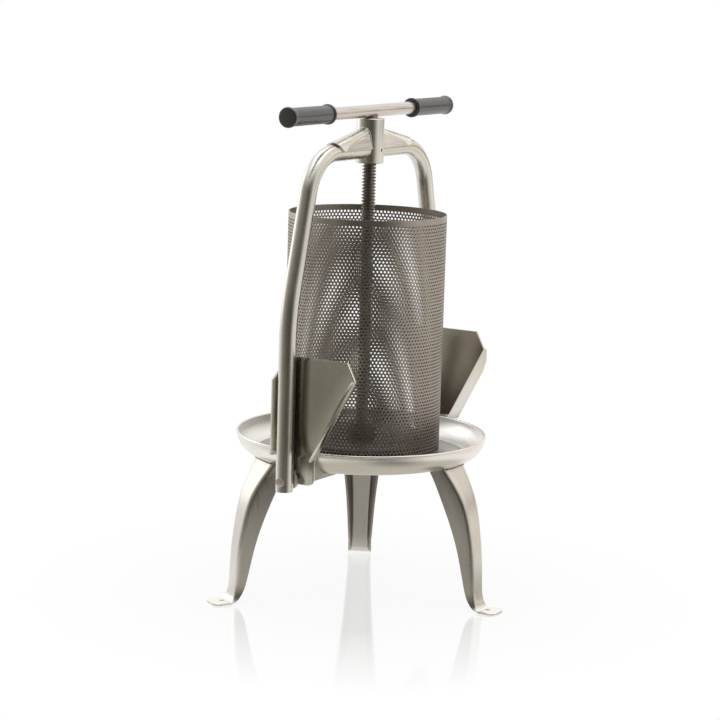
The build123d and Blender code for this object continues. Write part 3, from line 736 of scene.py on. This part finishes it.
# %% Cut and fold the bracket plates
def slab(outline, origin, u, v, n, thickness):
    # an outline in the directions u and v, thickened along n
    origin, u, v, n = (np.array(vector) for vector in (origin, u, v, n))
    return loft([[tuple((origin + a * u + b * v + c * n) * mm) for a, b in outline]
                 for c in (0, thickness)])

def join(piece, points, faces):
    boolean(piece, points, faces, "UNION")

tilt, flare = math.radians(27.5), math.radians(14.5)
plate_x, plate_sheet, lip_low, corner_z = 200.5, 4.0, 253, 377

def front_edge(z):
    return -24.3 - (z - 214.0) * math.tan(tilt)

plate_line = [(17.95, 208), (-31, 208), (-37.4, 210.6), (-40, 217), (-40, 244.16),
              (front_edge(corner_z), corner_z), (front_edge(corner_z) + 14.7, 405), (17.95, 405)]
back_lip = [(-2, lip_low), (25.5, lip_low), (25.5, 370), (0, 397), (-2, 397)]
lip_length = 123 / math.cos(tilt)
front_lip = [(-2, 0), (25.5, 0), (25.5, lip_length - 42), (20, lip_length - 22), (6, lip_length),
             (-2, lip_length)]
c, s, ct, st = math.cos(flare), math.sin(flare), math.cos(tilt), math.sin(tilt)
brackets = []
for name, side in yoke_sides.items():
    shape = slab(plate_line, (side * plate_x, 0, 0), (0, 1, 0), (0, 0, 1), (side, 0, 0),
                 plate_sheet)
    bracket = make_piece("bracket_" + name + "_plate", *shape, plate_sheet_finish,
                         "frame", "sheet_steel", ["bracket_" + name])
    lip_x = side * (plate_x + plate_sheet)
    join(bracket, *slab(back_lip, (lip_x, 13.95, 0), (side * c, s, 0), (0, 0, 1),
                        (-side * s, c, 0), plate_sheet))
    join(bracket, *slab(front_lip, (lip_x, front_edge(lip_low), lip_low),
                        (side * c, -s * ct, -s * st), (0, -st, ct), (side * s, c * ct, c * st),
                        plate_sheet))
    brackets.append(bracket)

# %% [markdown]
# Bare sharp edges are what makes a render look like a drawing. A real plate has a small round on
# every edge, and that round catches the light. A Bevel modifier finds the edges by their angle,
# and it is baked like the Booleans.

# %% Soften the edges of the brackets
def soften(piece, width):
    step = piece.modifiers.new("soft_edges", "BEVEL")
    step.width, step.segments = width * mm, 2
    step.limit_method, step.angle_limit = "ANGLE", math.radians(30)
    bake(piece)
    smooth(piece.data, 50.0)

for bracket in brackets:
    soften(bracket, 0.9)
    print(bracket.name, "with soft edges:", len(bracket.data.polygons), "faces")

# %% [markdown]
# A flat strap under the tray ties the brackets together. Its back corners are cut away, and at
# each end of its front edge an upright web closes the gap below the curved wall of the tray. A
# straight web would stab through that wall, so its height is worked out from the tray's profile.

# %% The strap under the tray
strap_x, strap_half, strap_low, strap_thick = 200.5, 40, 216, 6
strap_line = [(-strap_x, -strap_half), (strap_x, -strap_half), (strap_x, 27), (160, strap_half),
              (-160, strap_half), (-strap_x, 27)]
strap_shape = slab(strap_line, (0, 0, strap_low), (1, 0, 0), (0, 1, 0), (0, 0, 1), strap_thick)
strap = make_piece("strap_bar", *strap_shape, sheet_finish, "frame", "sheet_steel", ["strap"])

def wall_height(x, y):
    # the underside of the tray's wall, less a hair
    reach = min(max(math.hypot(x, y) - wall_r, 0.0), wall_bend - 0.1)
    return wall_z - math.sqrt(wall_bend**2 - reach**2) - 0.4

web_from, web_to, web_foot, web_sheet = 164, 200.4, 221, 3
for side in (-1, 1):
    web = [(side * x, wall_height(x, 38.5)) for x in np.linspace(web_from, web_to, 12)]
    web += [(side * web_to, web_foot), (side * web_from, web_foot)]
    join(strap, *slab(web, (0, -strap_half, 0), (1, 0, 0), (0, 0, 1), (0, 1, 0), web_sheet))
soften(strap, 0.5)
print("the strap with its webs has", len(strap.data.polygons), "faces")

# %% [markdown]
# Over each leg a coarse, burnt weld holds the tray, and its near-black tone is also painted shade
# in the joint. It is the same bead as at the hub, only thicker and with longer puddles, and it runs
# where the leg's top meets the tray's wall.

# %% Lay the weld beads over the legs
seam_r, seam_half, coarse_r, coarse_puddle = 173.7, 27.5, 1.5, 4.0
seam = [(seam_r, w, wall_height(seam_r, w) - 0.5) for w in np.linspace(-seam_half, seam_half, 50)]
for name, azimuth in leg_azimuths.items():
    path = [tuple(v / mm for v in p) for p in turn_about_z(seam, azimuth)]
    make_piece("weld_leg_" + name, *bead(path, coarse_r, coarse_puddle), weld_and_joint_shade_finish,
               "frame", "sheet_steel")

# %% [markdown]
# Each foot of the yoke hangs on a pivot screw, with a round spacer behind it. They are turned
# parts that lie on their side, so they are turned about Z as before and then laid along X, once
# for each side of the press. One mesh holds both, because they are one named piece.

# %% Spacers and pivot screws
pivot_z, spacer_x, head_x = 214, 204.5, 236.4

def pair_along_x(line, x, closed=True):
    points, faces = turned(line, 48, closed)
    both = [(side * (x * mm + p[2]), p[0], p[1] + pivot_z * mm) for side in (1, -1) for p in points]
    return both, faces + [tuple(i + len(points) for i in f) for f in faces]

spacer_line = arc(14.3, 0.7, 0.7, -90, 0, 3) + arc(14.3, 4.3, 0.7, 0, 90, 3)
spacer_line += [(5.1, 5.0), (5.1, 0.0)]
make_piece("spacer_discs", *pair_along_x(spacer_line, spacer_x), bright_finish,
           "frame", "bright_steel", ["pivot_spacers"])
head_line = [(0, -35.9), (5, -35.9), (5, -2.4), (6.9, -2.4), (7.0, -2.2), (7.0, 0.5)]
head_line += [(6.6 + 0.4 * math.cos(t), 0.5 + 0.4 * math.sin(t))
              for t in np.linspace(0.4, math.pi / 2, 4)] + [(0, 0.9)]
make_piece("pivot_heads", *pair_along_x(head_line, head_x, False), tube_finish,
           "frame", "bright_steel", ["pivot_screws"])

# %% [markdown]
# ## The basket
# The basket is rolled from perforated sheet with a staggered pattern. An alpha texture could fake
# the holes, but they would have no thickness and would vanish from the exported shape. So every
# hole is real. The sheet is divided into hexagons, like a honeycomb, and each hexagon gets a round
# hole. First come the points: the zigzag levels of the honeycomb, then the rings of the holes.

# %% Where the points of the net lie
hole_columns, hole_rows, hole_radius, hole_points = 130, 70, 1.95, 12
row_step, first_row = 5.2, 239.0
sheet_out, sheet_in, sheet_low, sheet_high = 125.0, 123.5, 224.0, 609.0
sheet_mid = (sheet_out + sheet_in) / 2
around = 2 * hole_columns
column_step = 2 * math.pi * sheet_mid / hole_columns
zig = column_step * column_step / (8 * row_step)

def net_points(radius):
    k = np.arange(around)
    levels = [np.column_stack([k, np.full(around, sheet_low)])]
    for j in range(hole_rows + 1):
        up = np.where((k - j) % 2 == 0, -zig, zig)
        levels.append(np.column_stack([k, first_row + (j - 0.5) * row_step + up]))
    levels.append(np.column_stack([k, np.full(around, sheet_high)]))
    grid = np.concatenate(levels).astype(float)
    grid[:, 0] *= math.pi / hole_columns
    t = -math.pi / 2 + np.arange(hole_points) * math.pi / (hole_points / 2)
    i, j = np.meshgrid(np.arange(hole_columns), np.arange(hole_rows))
    angle = (i.ravel() + 0.5 * (j.ravel() % 2)) * 2 * math.pi / hole_columns
    ring_a = angle[:, None] + hole_radius * np.cos(t)[None, :] / sheet_mid
    ring_z = (first_row + j.ravel() * row_step)[:, None] + hole_radius * np.sin(t)[None, :]
    flat = np.concatenate([grid, np.column_stack([ring_a.ravel(), ring_z.ravel()])])
    a = flat[:, 0]
    return np.column_stack([radius * np.cos(a), radius * np.sin(a), flat[:, 1]]) * mm

outside, inside = net_points(sheet_out), net_points(sheet_in)
print("the net has", len(outside), "points on each side of the sheet")

# %% [markdown]
# Next come the faces. Six faces fill the space between each hexagon and its hole, and plain bands
# close the sheet above and below the pattern. A grid with a Boolean cutter for each hole would
# take Blender minutes for the same shape, and its mesh would be ragged.

# %% Faces between the hexagons and the holes
rings_at = (hole_rows + 3) * around

def net_faces():
    def corner(level, k):
        return (level + 1) * around + k % around
    faces = []
    for j in range(hole_rows):
        for i in range(hole_columns):
            k = 2 * i + j % 2
            o = [corner(j, k), corner(j, k + 1), corner(j + 1, k + 1), corner(j + 1, k),
                 corner(j + 1, k - 1), corner(j, k - 1)]
            r = rings_at + (j * hole_columns + i) * hole_points
            faces += [(o[s], o[(s + 1) % 6], r + (2 * s + 2) % hole_points, r + 2 * s + 1,
                       r + 2 * s) for s in range(6)]
    for low, high in ((0, around), ((hole_rows + 1) * around, (hole_rows + 2) * around)):
        faces += [(low + k, low + (k + 1) % around, high + (k + 1) % around, high + k)
                  for k in range(around)]
    return faces

faces = net_faces()
print("the net has", len(faces), "faces on each side of the sheet")

# %% [markdown]
# The net now lies on the outer and on the inner face of the sheet, and a wall joins the two
# through every hole and along both rims. A Solidify modifier could do the same, but this way the
# wall is square to the sheet and the mesh is closed from the start.

# %% Perforate the sheet
shift, top = len(outside), (hole_rows + 2) * around

def wall(first, count):
    # the quads between a ring of the outer net and the same ring of the inner one
    ring = [(first + m, first + (m + 1) % count) for m in range(count)]
    return [(a, b, shift + b, shift + a) for a, b in ring]

walls = [quad for r in range(rings_at, shift, hole_points) for quad in wall(r, hole_points)]
rims = [quad[::-1] for quad in wall(0, around)] + wall(top, around)
inner_faces = [tuple(shift + v for v in f[::-1]) for f in faces]
basket_mesh = bpy.data.meshes.new("basket_perforated")
basket_mesh.from_pydata(np.concatenate([outside, inside]).tolist(), [],
                        faces + inner_faces + walls + rims)
place_piece("basket_perforated", basket_mesh, basket_finish, "basket", "basket_steel", ["basket"])
print("holes in the basket:", hole_columns * hole_rows)

# %% [markdown]
# ## The screw
# The screw has a coarse right-hand trapezoidal thread, five millimetres a turn. A bump map would
# leave the outline straight, and the outline is what shows above the basket. So the thread is a
# ribbon that climbs round the axis: four points across one pitch, and each turn's last edge is
# the next turn's first, which makes one closed skin with no seam.

# %% Wind the thread
pitch, crest, root, steps_a_turn, run_out = 5.0, 11.0, 8.25, 36, 20
thread_low, thread_high = 308.0, 761.0
thread_count = int(((thread_high - thread_low) / pitch - 1) * steps_a_turn)

def thread():
    across = [(0.0, 0), (0.17, 1), (0.54, 1), (0.71, 0)]
    points = []
    for k in range(thread_count + 1):
        a = 2 * math.pi * k / steps_a_turn
        lift = (crest - root) * min(1.0, k / run_out, (thread_count - k) / run_out)
        for share, on_crest in across:
            r, z = root + lift * on_crest, thread_low + (k / steps_a_turn + share) * pitch
            points.append((r * math.cos(a) * mm, r * math.sin(a) * mm, z * mm))
    faces = [(k * 4 + m, (k + 1) * 4 + m, (k + 1) * 4 + m + 1, k * 4 + m + 1)
             for k in range(thread_count) for m in range(3)]
    faces += [(k * 4 + 3, (k + 1) * 4 + 3, (k + 1 + steps_a_turn) * 4, (k + steps_a_turn) * 4)
              for k in range(thread_count - steps_a_turn)]
    return points, faces

points, faces = thread()
last = thread_count * 4
low_loop = [k * 4 for k in range(steps_a_turn + 1)] + [3, 2, 1]
high_loop = [k * 4 + 3 for k in range(thread_count, thread_count - steps_a_turn - 1, -1)]
high_loop += [last, last + 1, last + 2]
for loop, z in ((low_loop, thread_low), (high_loop, thread_high)):
    points.append((0, 0, z * mm))
    faces += [(loop[i], loop[(i + 1) % len(loop)], len(points) - 1) for i in range(len(loop))]
print("the thread winds", round(thread_count / steps_a_turn, 1), "times")

# %% [markdown]
# Below the thread the screw ends in a smooth shank with a disc, which the plate's collar holds,
# and above it in a short neck under the handle. They could be pieces of their own, but on the
# lathe they come from the same bar, so they go into the same mesh.

# %% Shank and neck of the screw
shank_line = [(0, 250), (14.4, 250), (15, 250.6), (15, 256.4), (14.4, 257), (10, 257), (10, 308.5),
              (9.0, 311), (0, 311)]
neck_line = [(0, 754), (10.6, 754), (11, 754.5), (11, 761), (10, 763.5), (0, 763.5)]
for line in (shank_line, neck_line):
    more_points, more_faces = turned(line, 48, False)
    faces += [tuple(i + len(points) for i in f) for f in more_faces]
    points += more_points
make_piece("screw_thread", points, faces, screw_finish, "screw", "dark_steel", ["screw"], 30.0)

# %% [markdown]
# ## The handle and its grips
# The handle is a plain length of drawn tube across the top of the screw, turned a little out of
# line with the yoke. A cylinder primitive would be solid, so the tube is turned with its bore, and
# then laid along the handle's own direction.

# %% The handle tube
handle_turn, handle_z, handle_half = math.radians(2.0), 768.0, 248

def along_handle(points, side=1):
    c, s = math.cos(handle_turn) * side, math.sin(handle_turn) * side
    return [(c * z - s * x * side, s * z + c * x * side, y + handle_z * mm) for x, y, z in points]

tube_line = [(10, -handle_half), (10, handle_half), (8, handle_half), (8, -handle_half)]
tube_points, tube_faces = turned(tube_line, 48)
make_piece("handle_bar", along_handle(tube_points), tube_faces, handle_finish,
           "screw", "tube_steel", ["handle_tube"], 45.0)

# %% [markdown]
# A grip is pushed onto each end of the handle. It is knurled in fine diamonds, with a collar at
# the inner end and a closed, slightly flared outer end. A bump map would keep the outline smooth,
# so the diamonds are modelled: two crossing sets of grooves, each a triangle wave, and the surface
# is lifted by the lower of the two.

# %% Shape of a knurled grip
diamonds_round, diamond_length, knurl_depth, knurl_r = 24, 3.8, 0.34, 13.6
grip_from, grip_to = 133.0, 254.0
collar_rows = [(0, 10.05), (0, 15.0), (0.6, 15.6), (3.9, 15.6), (4.5, 15.0), (5.2, 13.7)]
cap_rows = [(9.5, 13.8), (7.0, 14.4), (4.5, 15.4), (3.0, 15.6), (1.2, 15.4), (0.3, 14.6),
            (0, 13.2), (0, 0.0)]

def wave(t):
    return 1 - abs(2 * (t - math.floor(t)) - 1)

def grip_shape():
    count = diamonds_round * 4
    body = np.arange(grip_from + 6.5, grip_to - 11.0, diamond_length / 4)
    rows = [(grip_from + x, r, False) for x, r in collar_rows]
    rows += [(x, knurl_r, True) for x in body]
    rows += [(grip_to - x, r, False) for x, r in cap_rows]
    rings = []
    for x, r, knurled in rows:
        ring, v = [], (x - body[0]) / diamond_length
        for k in range(count):
            a, u = 2 * math.pi * k / count, k / 4
            lift = min(wave(u + v), wave(u - v)) * knurl_depth if knurled else 0.0
            ring.append(((r + lift) * math.cos(a) * mm, (r + lift) * math.sin(a) * mm, x * mm))
        rings.append(ring)
    return loft(rings, capped=False)

grip_points, grip_faces = grip_shape()
print("a grip has", diamonds_round, "diamonds round it")

# %% [markdown]
# The same grip serves for both ends, once turned about. The tips of its diamonds are painted grey,
# as wear from hands and as a painted glint, and the mesh knows best where they are: the further a
# point stands out from the knurled cylinder, the more it is marked.

# %% Push on the grips
axis = Vector((math.cos(handle_turn), math.sin(handle_turn), 0))
for name, side in (("grip_right", 1), ("grip_left", -1)):
    grip = make_piece(name + "_knurled", along_handle(grip_points, side), grip_faces, grip_finish,
                      "screw", "grip_plastic", [name], 60.0)
    # wear and painted glint on the diamond tips
    tip_wear_and_glint = grip.data.attributes.new("tip_wear_and_glint", "FLOAT", "POINT")
    for point, mark in zip(grip.data.vertices, tip_wear_and_glint.data):
        arm = point.co - Vector((0, 0, handle_z * mm))
        out, far = arm.cross(axis).length / mm, abs(arm.dot(axis)) / mm
        on_knurl = grip_from + 6 < far < grip_to - 11
        mark.value = ((out - knurl_r) / knurl_depth)**2 if on_knurl else 0.0

# %% [markdown]
# ## The press plate
# The plate and its collar hide low in the basket, but they show from above and through the holes.
# Their steel is painted dark, as painted shade low in the basket. Cylinders would do for a glimpse,
# but both are lathe work with broken edges, so the turning helper makes them too.

# %% Turn the plate and its collar
disc_line = [(0, 244)] + arc(120, 245, 1.0, -90, 0, 3) + arc(120, 249, 1.0, 0, 90, 3)
disc_line += [(15.5, 250), (0, 250)]
make_piece("press_disc", *turned(disc_line, 128, False), shaded_plate_finish,
           "plate", "plate_steel", ["press_plate"])
collar_line = [(15.5, 250), (22, 250), (22, 272), (21, 274), (19, 275), (10.9, 275), (10.4, 274.5),
               (10.4, 257.5), (15.5, 257.5)]
make_piece("press_collar", *turned(collar_line, 64), shaded_plate_finish,
           "plate", "plate_steel", ["plate_collar"])

# %% [markdown]
# ## Camera
# The camera stands where the picture was taken from: a little above the tray, a long lens, seen
# three-quarters from the yoke's left foot. The numbers come from fitting the tray's ellipse, the
# pipe edges and the feet. A Track To constraint could aim it, but it can't roll, so the camera's
# three axes are written down. A small shift keeps the press at its place in the frame.

# %% Place the camera
picture_width, sensor_width, focal_pixels, shift_pixels = 720, 36.0, 2352.235, (-2.888, 14.094)
eye, aim, roll = Vector((-3.1688, -1.8989, 0.9945)), Vector((0, 0, 0.35)), math.radians(1.769)
ahead = (aim - eye).normalized()
level_right = ahead.cross(Vector((0, 0, 1))).normalized()
level_up = level_right.cross(ahead)
right = level_right * math.cos(roll) + level_up * math.sin(roll)
up = level_up * math.cos(roll) - level_right * math.sin(roll)
lens = bpy.data.cameras.new("photo_camera")
lens.sensor_width, lens.lens = sensor_width, focal_pixels / picture_width * sensor_width
lens.shift_x, lens.shift_y = (pixels / picture_width for pixels in shift_pixels)
camera = bpy.data.objects.new("photo_camera", lens)
camera.matrix_world = Matrix((right, up, -ahead)).transposed().to_4x4()
camera.location = eye
bpy.context.scene.collection.objects.link(camera)
bpy.context.scene.camera = camera
print("camera at", [round(v, 3) for v in camera.location], "with a", round(lens.lens, 1), "mm lens")

# %% [markdown]
# ## Floor, world and light
# The press stands on a glossy white table that shows a faint mirror image of its feet. The white
# could come from strong lamps, but they would bleach the steel. So the table glows white only for
# rays that look at it, from the camera or by way of a mirror, and for all other light it is a
# pale polished surface. Under the press it glows less, which leaves room for shadow and image.

# %% The floor
table_radius, shade_from, shade_to, shade_glow = 0.7, 0.26, 0.56, 0.70

def disc_mesh(name):
    ring = [(table_radius * math.cos(t), table_radius * math.sin(t), 0) for t in full_turn(96)]
    mesh = bpy.data.meshes.new(name)
    mesh.from_pydata(ring, [], [tuple(range(len(ring)))])
    return mesh

def looked_at(tree):
    # 1 for what is seen, straight on, in a mirror or through glass, and 0 for other light
    rays = add(tree, "LightPath").outputs
    kinds = {"X": rays["Is Camera Ray"], "Y": rays["Is Glossy Ray"],
             "Z": rays["Is Transmission Ray"]}
    return distance(tree, add(tree, "CombineXYZ", kinds).outputs["Vector"])

def mix_shaders(tree, factor, first, second, output="Material Output"):
    mixed = add(tree, "MixShader", {"Fac": factor, 1: first.outputs[0], 2: second.outputs[0]})
    tree.links.new(mixed.outputs["Shader"], tree.nodes[output].inputs["Surface"])

floor = bpy.data.objects.new("floor", disc_mesh("floor"))
floor.location.z = -0.0005
bpy.context.scene.collection.objects.link(floor)
floor_finish, tree = new_finish("white_floor")
polished = feed(tree, tree.nodes["Principled BSDF"], {
    "Base Color": (0.97, 0.97, 0.965, 1), "Metallic": 0.65, "Roughness": 0.07})
glow = add(tree, "Emission", {"Color": (1, 1, 1, 1), "Strength": 1.0})
where = add(tree, "TexCoord").outputs["Object"]
whiter = remap(tree, distance(tree, where), shade_from, shade_to, shade_glow, 1.0)
mix_shaders(tree, combine(tree, "MULTIPLY", looked_at(tree), whiter), polished, glow)
floor.data.materials.append(floor_finish)
print("the floor is", 2 * table_radius, "m across")

# %% [markdown]
# Behind the table there is only the world. It is white where it is looked at, as a lit studio
# wall is, and as a lamp it is softer and a little warm, so that colours come out as they are
# written. A backdrop object could do this too, but the world has no edge that could show.

# %% The world
world = bpy.data.worlds.new("studio")
bpy.context.scene.world = world
world.use_nodes = True
tree = world.node_tree
seen = add(tree, "Background", {"Color": (1, 1, 1, 1)})
room = add(tree, "Background", {"Color": (1.0, 0.985, 0.96, 1), "Strength": 0.6})
mix_shaders(tree, looked_at(tree), room, seen, "World Output")
bpy.context.scene.view_settings.view_transform = "Standard"
print("the world lights with a strength of", room.inputs["Strength"].default_value)

# %% [markdown]
# Bright metal in an all-white room has nothing to mirror and turns to chalk. A studio stands grey
# cards round the camera, and the dark bands on the pipes are those cards. Several flat cards
# would show their gaps, so one curved card stands round the camera's side of the press. It is
# only mirrored: the camera itself never sees it, and it casts no shadow.

# %% A card round the camera
card_radius, card_half_turn, card_low, card_high, card_panels = 5.0, 140, -3.2, 7.5, 56

def only_mirrored(thing):
    thing.visible_camera = thing.visible_diffuse = thing.visible_shadow = False
    bpy.context.scene.collection.objects.link(thing)

card_turn = math.radians(card_half_turn)
card_angles = np.linspace(-card_turn, card_turn, card_panels + 1)
strip = [(card_radius * math.cos(t), card_radius * math.sin(t), z)
         for t in card_angles for z in (card_low, card_high)]
card_mesh = bpy.data.meshes.new("grey_card")
card_mesh.from_pydata(strip, [], [(k, k + 2, k + 3, k + 1) for k in range(0, 2 * card_panels, 2)])
card = bpy.data.objects.new("grey_card", card_mesh)
card.rotation_euler.z = math.atan2(eye.y, eye.x)
only_mirrored(card)
print("grey card:", len(card_mesh.polygons), "panels")

# %% [markdown]
# The card is deep grey beside the lens, paler towards both sides, and white at its two ends and
# its top, so that no edge of it shows. On the right a dark line runs along it, and polished steel
# there mirrors that line as a dark band. The tones could be lamps of many strengths. A ramp over
# the angle round the press is simpler, and greys get a little warmer as they get darker.

# %% The greys of the card
card_tones = [(-119, 1.0), (-100, 0.80), (-80, 0.48), (-60, 0.26), (-23, 0.125), (8, 0.07),
              (27, 0.08), (41, 0.28), (53, 0.62), (68, 0.90), (92, 0.94), (118, 0.84), (136, 1.0)]
line_tones = [(0.0, 1.0), (0.3, 0.28), (0.6, 0.28), (1.0, 1.0)]
line_low, line_high, line_from, line_full = 0.35, 1.4, math.radians(72), math.radians(95)
fade_low, fade_high = 2.6, 7.0

def card_finish(name):
    finish, tree = new_finish(name)
    tree.nodes.remove(tree.nodes["Principled BSDF"])
    return finish, tree

def warm_grey(tone):
    return tone, tone * (0.95 + 0.05 * tone), tone * (0.76 + 0.24 * tone)

grey, tree = card_finish("grey_card")
to_front, to_side, up = place_of(tree)
turn = combine(tree, "ARCTAN2", to_side, to_front)
tones = ramp(tree, remap(tree, turn, -card_turn, card_turn),
             [((degrees + card_half_turn) / (2 * card_half_turn), warm_grey(tone))
              for degrees, tone in card_tones])
line = ramp(tree, remap(tree, up, line_low, line_high),
            [(place, (tone, tone * 0.94, tone * 0.88)) for place, tone in line_tones])
on_right = remap(tree, turn, line_from, line_full)
darker = add(tree, "Mix", {"Factor": on_right, 6: tones, 7: line},
             data_type="RGBA", blend_type="MULTIPLY").outputs[2]
faded = paint_over(tree, rise(tree, up, fade_low, fade_high), darker, (1, 1, 1))
glow = add(tree, "Emission", {"Color": faded})
tree.links.new(glow.outputs["Emission"], tree.nodes["Material Output"].inputs["Surface"])
card_mesh.materials.append(grey)
print("the card's greys go from", min(tone for _, tone in card_tones), "to white")

# %% [markdown]
# A second card lies under the press. Without it the undersides of the legs and the tray would
# mirror a glaring white floor, and their soft brown shade would be lost. A lower light would do
# that too, but for the whole press. The card has one dark spot towards the camera, for the near
# bracket and pipe, and fades to white at its edge. From below it is clear.

# %% A card under the press
low_tones = [(0.0, 0.47), (0.48, 0.47), (0.62, 0.72), (0.70, 1.0)]
dark_spot, spot_near, spot_far, spot_glow, far_glow = (-0.23, -0.44, 0), 0.10, 0.42, 0.40, 1.2
low_card = bpy.data.objects.new("low_card", disc_mesh("low_card"))
low_card.location = (-0.10, -0.18, -0.0003)
low_card.scale = (0.75, 0.62, 1.0)
only_mirrored(low_card)
grey, tree = card_finish("low_card")
where = add(tree, "TexCoord").outputs["Object"]
tones = ramp(tree, distance(tree, where), [(place, warm_grey(tone)) for place, tone in low_tones])
from_spot = distance(tree, where, dark_spot)
strength = remap(tree, from_spot, spot_near, spot_far, spot_glow, far_glow)
glow = add(tree, "Emission", {"Color": tones, "Strength": strength})
from_below = add(tree, "NewGeometry").outputs["Backfacing"]
mix_shaders(tree, from_below, glow, add(tree, "BsdfTransparent"))
low_card.data.materials.append(grey)
print("low card at", [round(v, 2) for v in low_card.location])

# %% [markdown]
# Three big soft lamps give the press its form: one above, one behind at the left and a weak one
# at the right. Small lamps would draw hard spots on the steel. Area lamps of this size draw long
# soft highlights on the pipes, and they stay weak, so that no colour is bleached.

# %% Soft lamps
lamp_tint = (1, 0.985, 0.96)

def soft_lamp(name, place, target, width, height, watts):
    lamp = bpy.data.lights.new(name, "AREA")
    lamp.shape, lamp.size, lamp.size_y = "RECTANGLE", width, height
    lamp.energy, lamp.color = watts, lamp_tint
    holder = bpy.data.objects.new(name, lamp)
    holder.location = place
    aim_at = Vector(target) - Vector(place)
    holder.rotation_euler = aim_at.to_track_quat("-Z", "Y").to_euler()
    bpy.context.scene.collection.objects.link(holder)
    print(name, "has", watts, "watts")

soft_lamp("top_lamp", (0.25, 0.15, 2.5), (0, 0, 0.3), width=2.2, height=2.2, watts=16)
soft_lamp("left_lamp", (-0.1, 2.3, 1.1), (0, 0, 0.35), width=1.2, height=1.6, watts=5)
soft_lamp("right_lamp", (1.6, -1.5, 0.9), (0, 0, 0.45), width=0.8, height=1.8, watts=1.5)
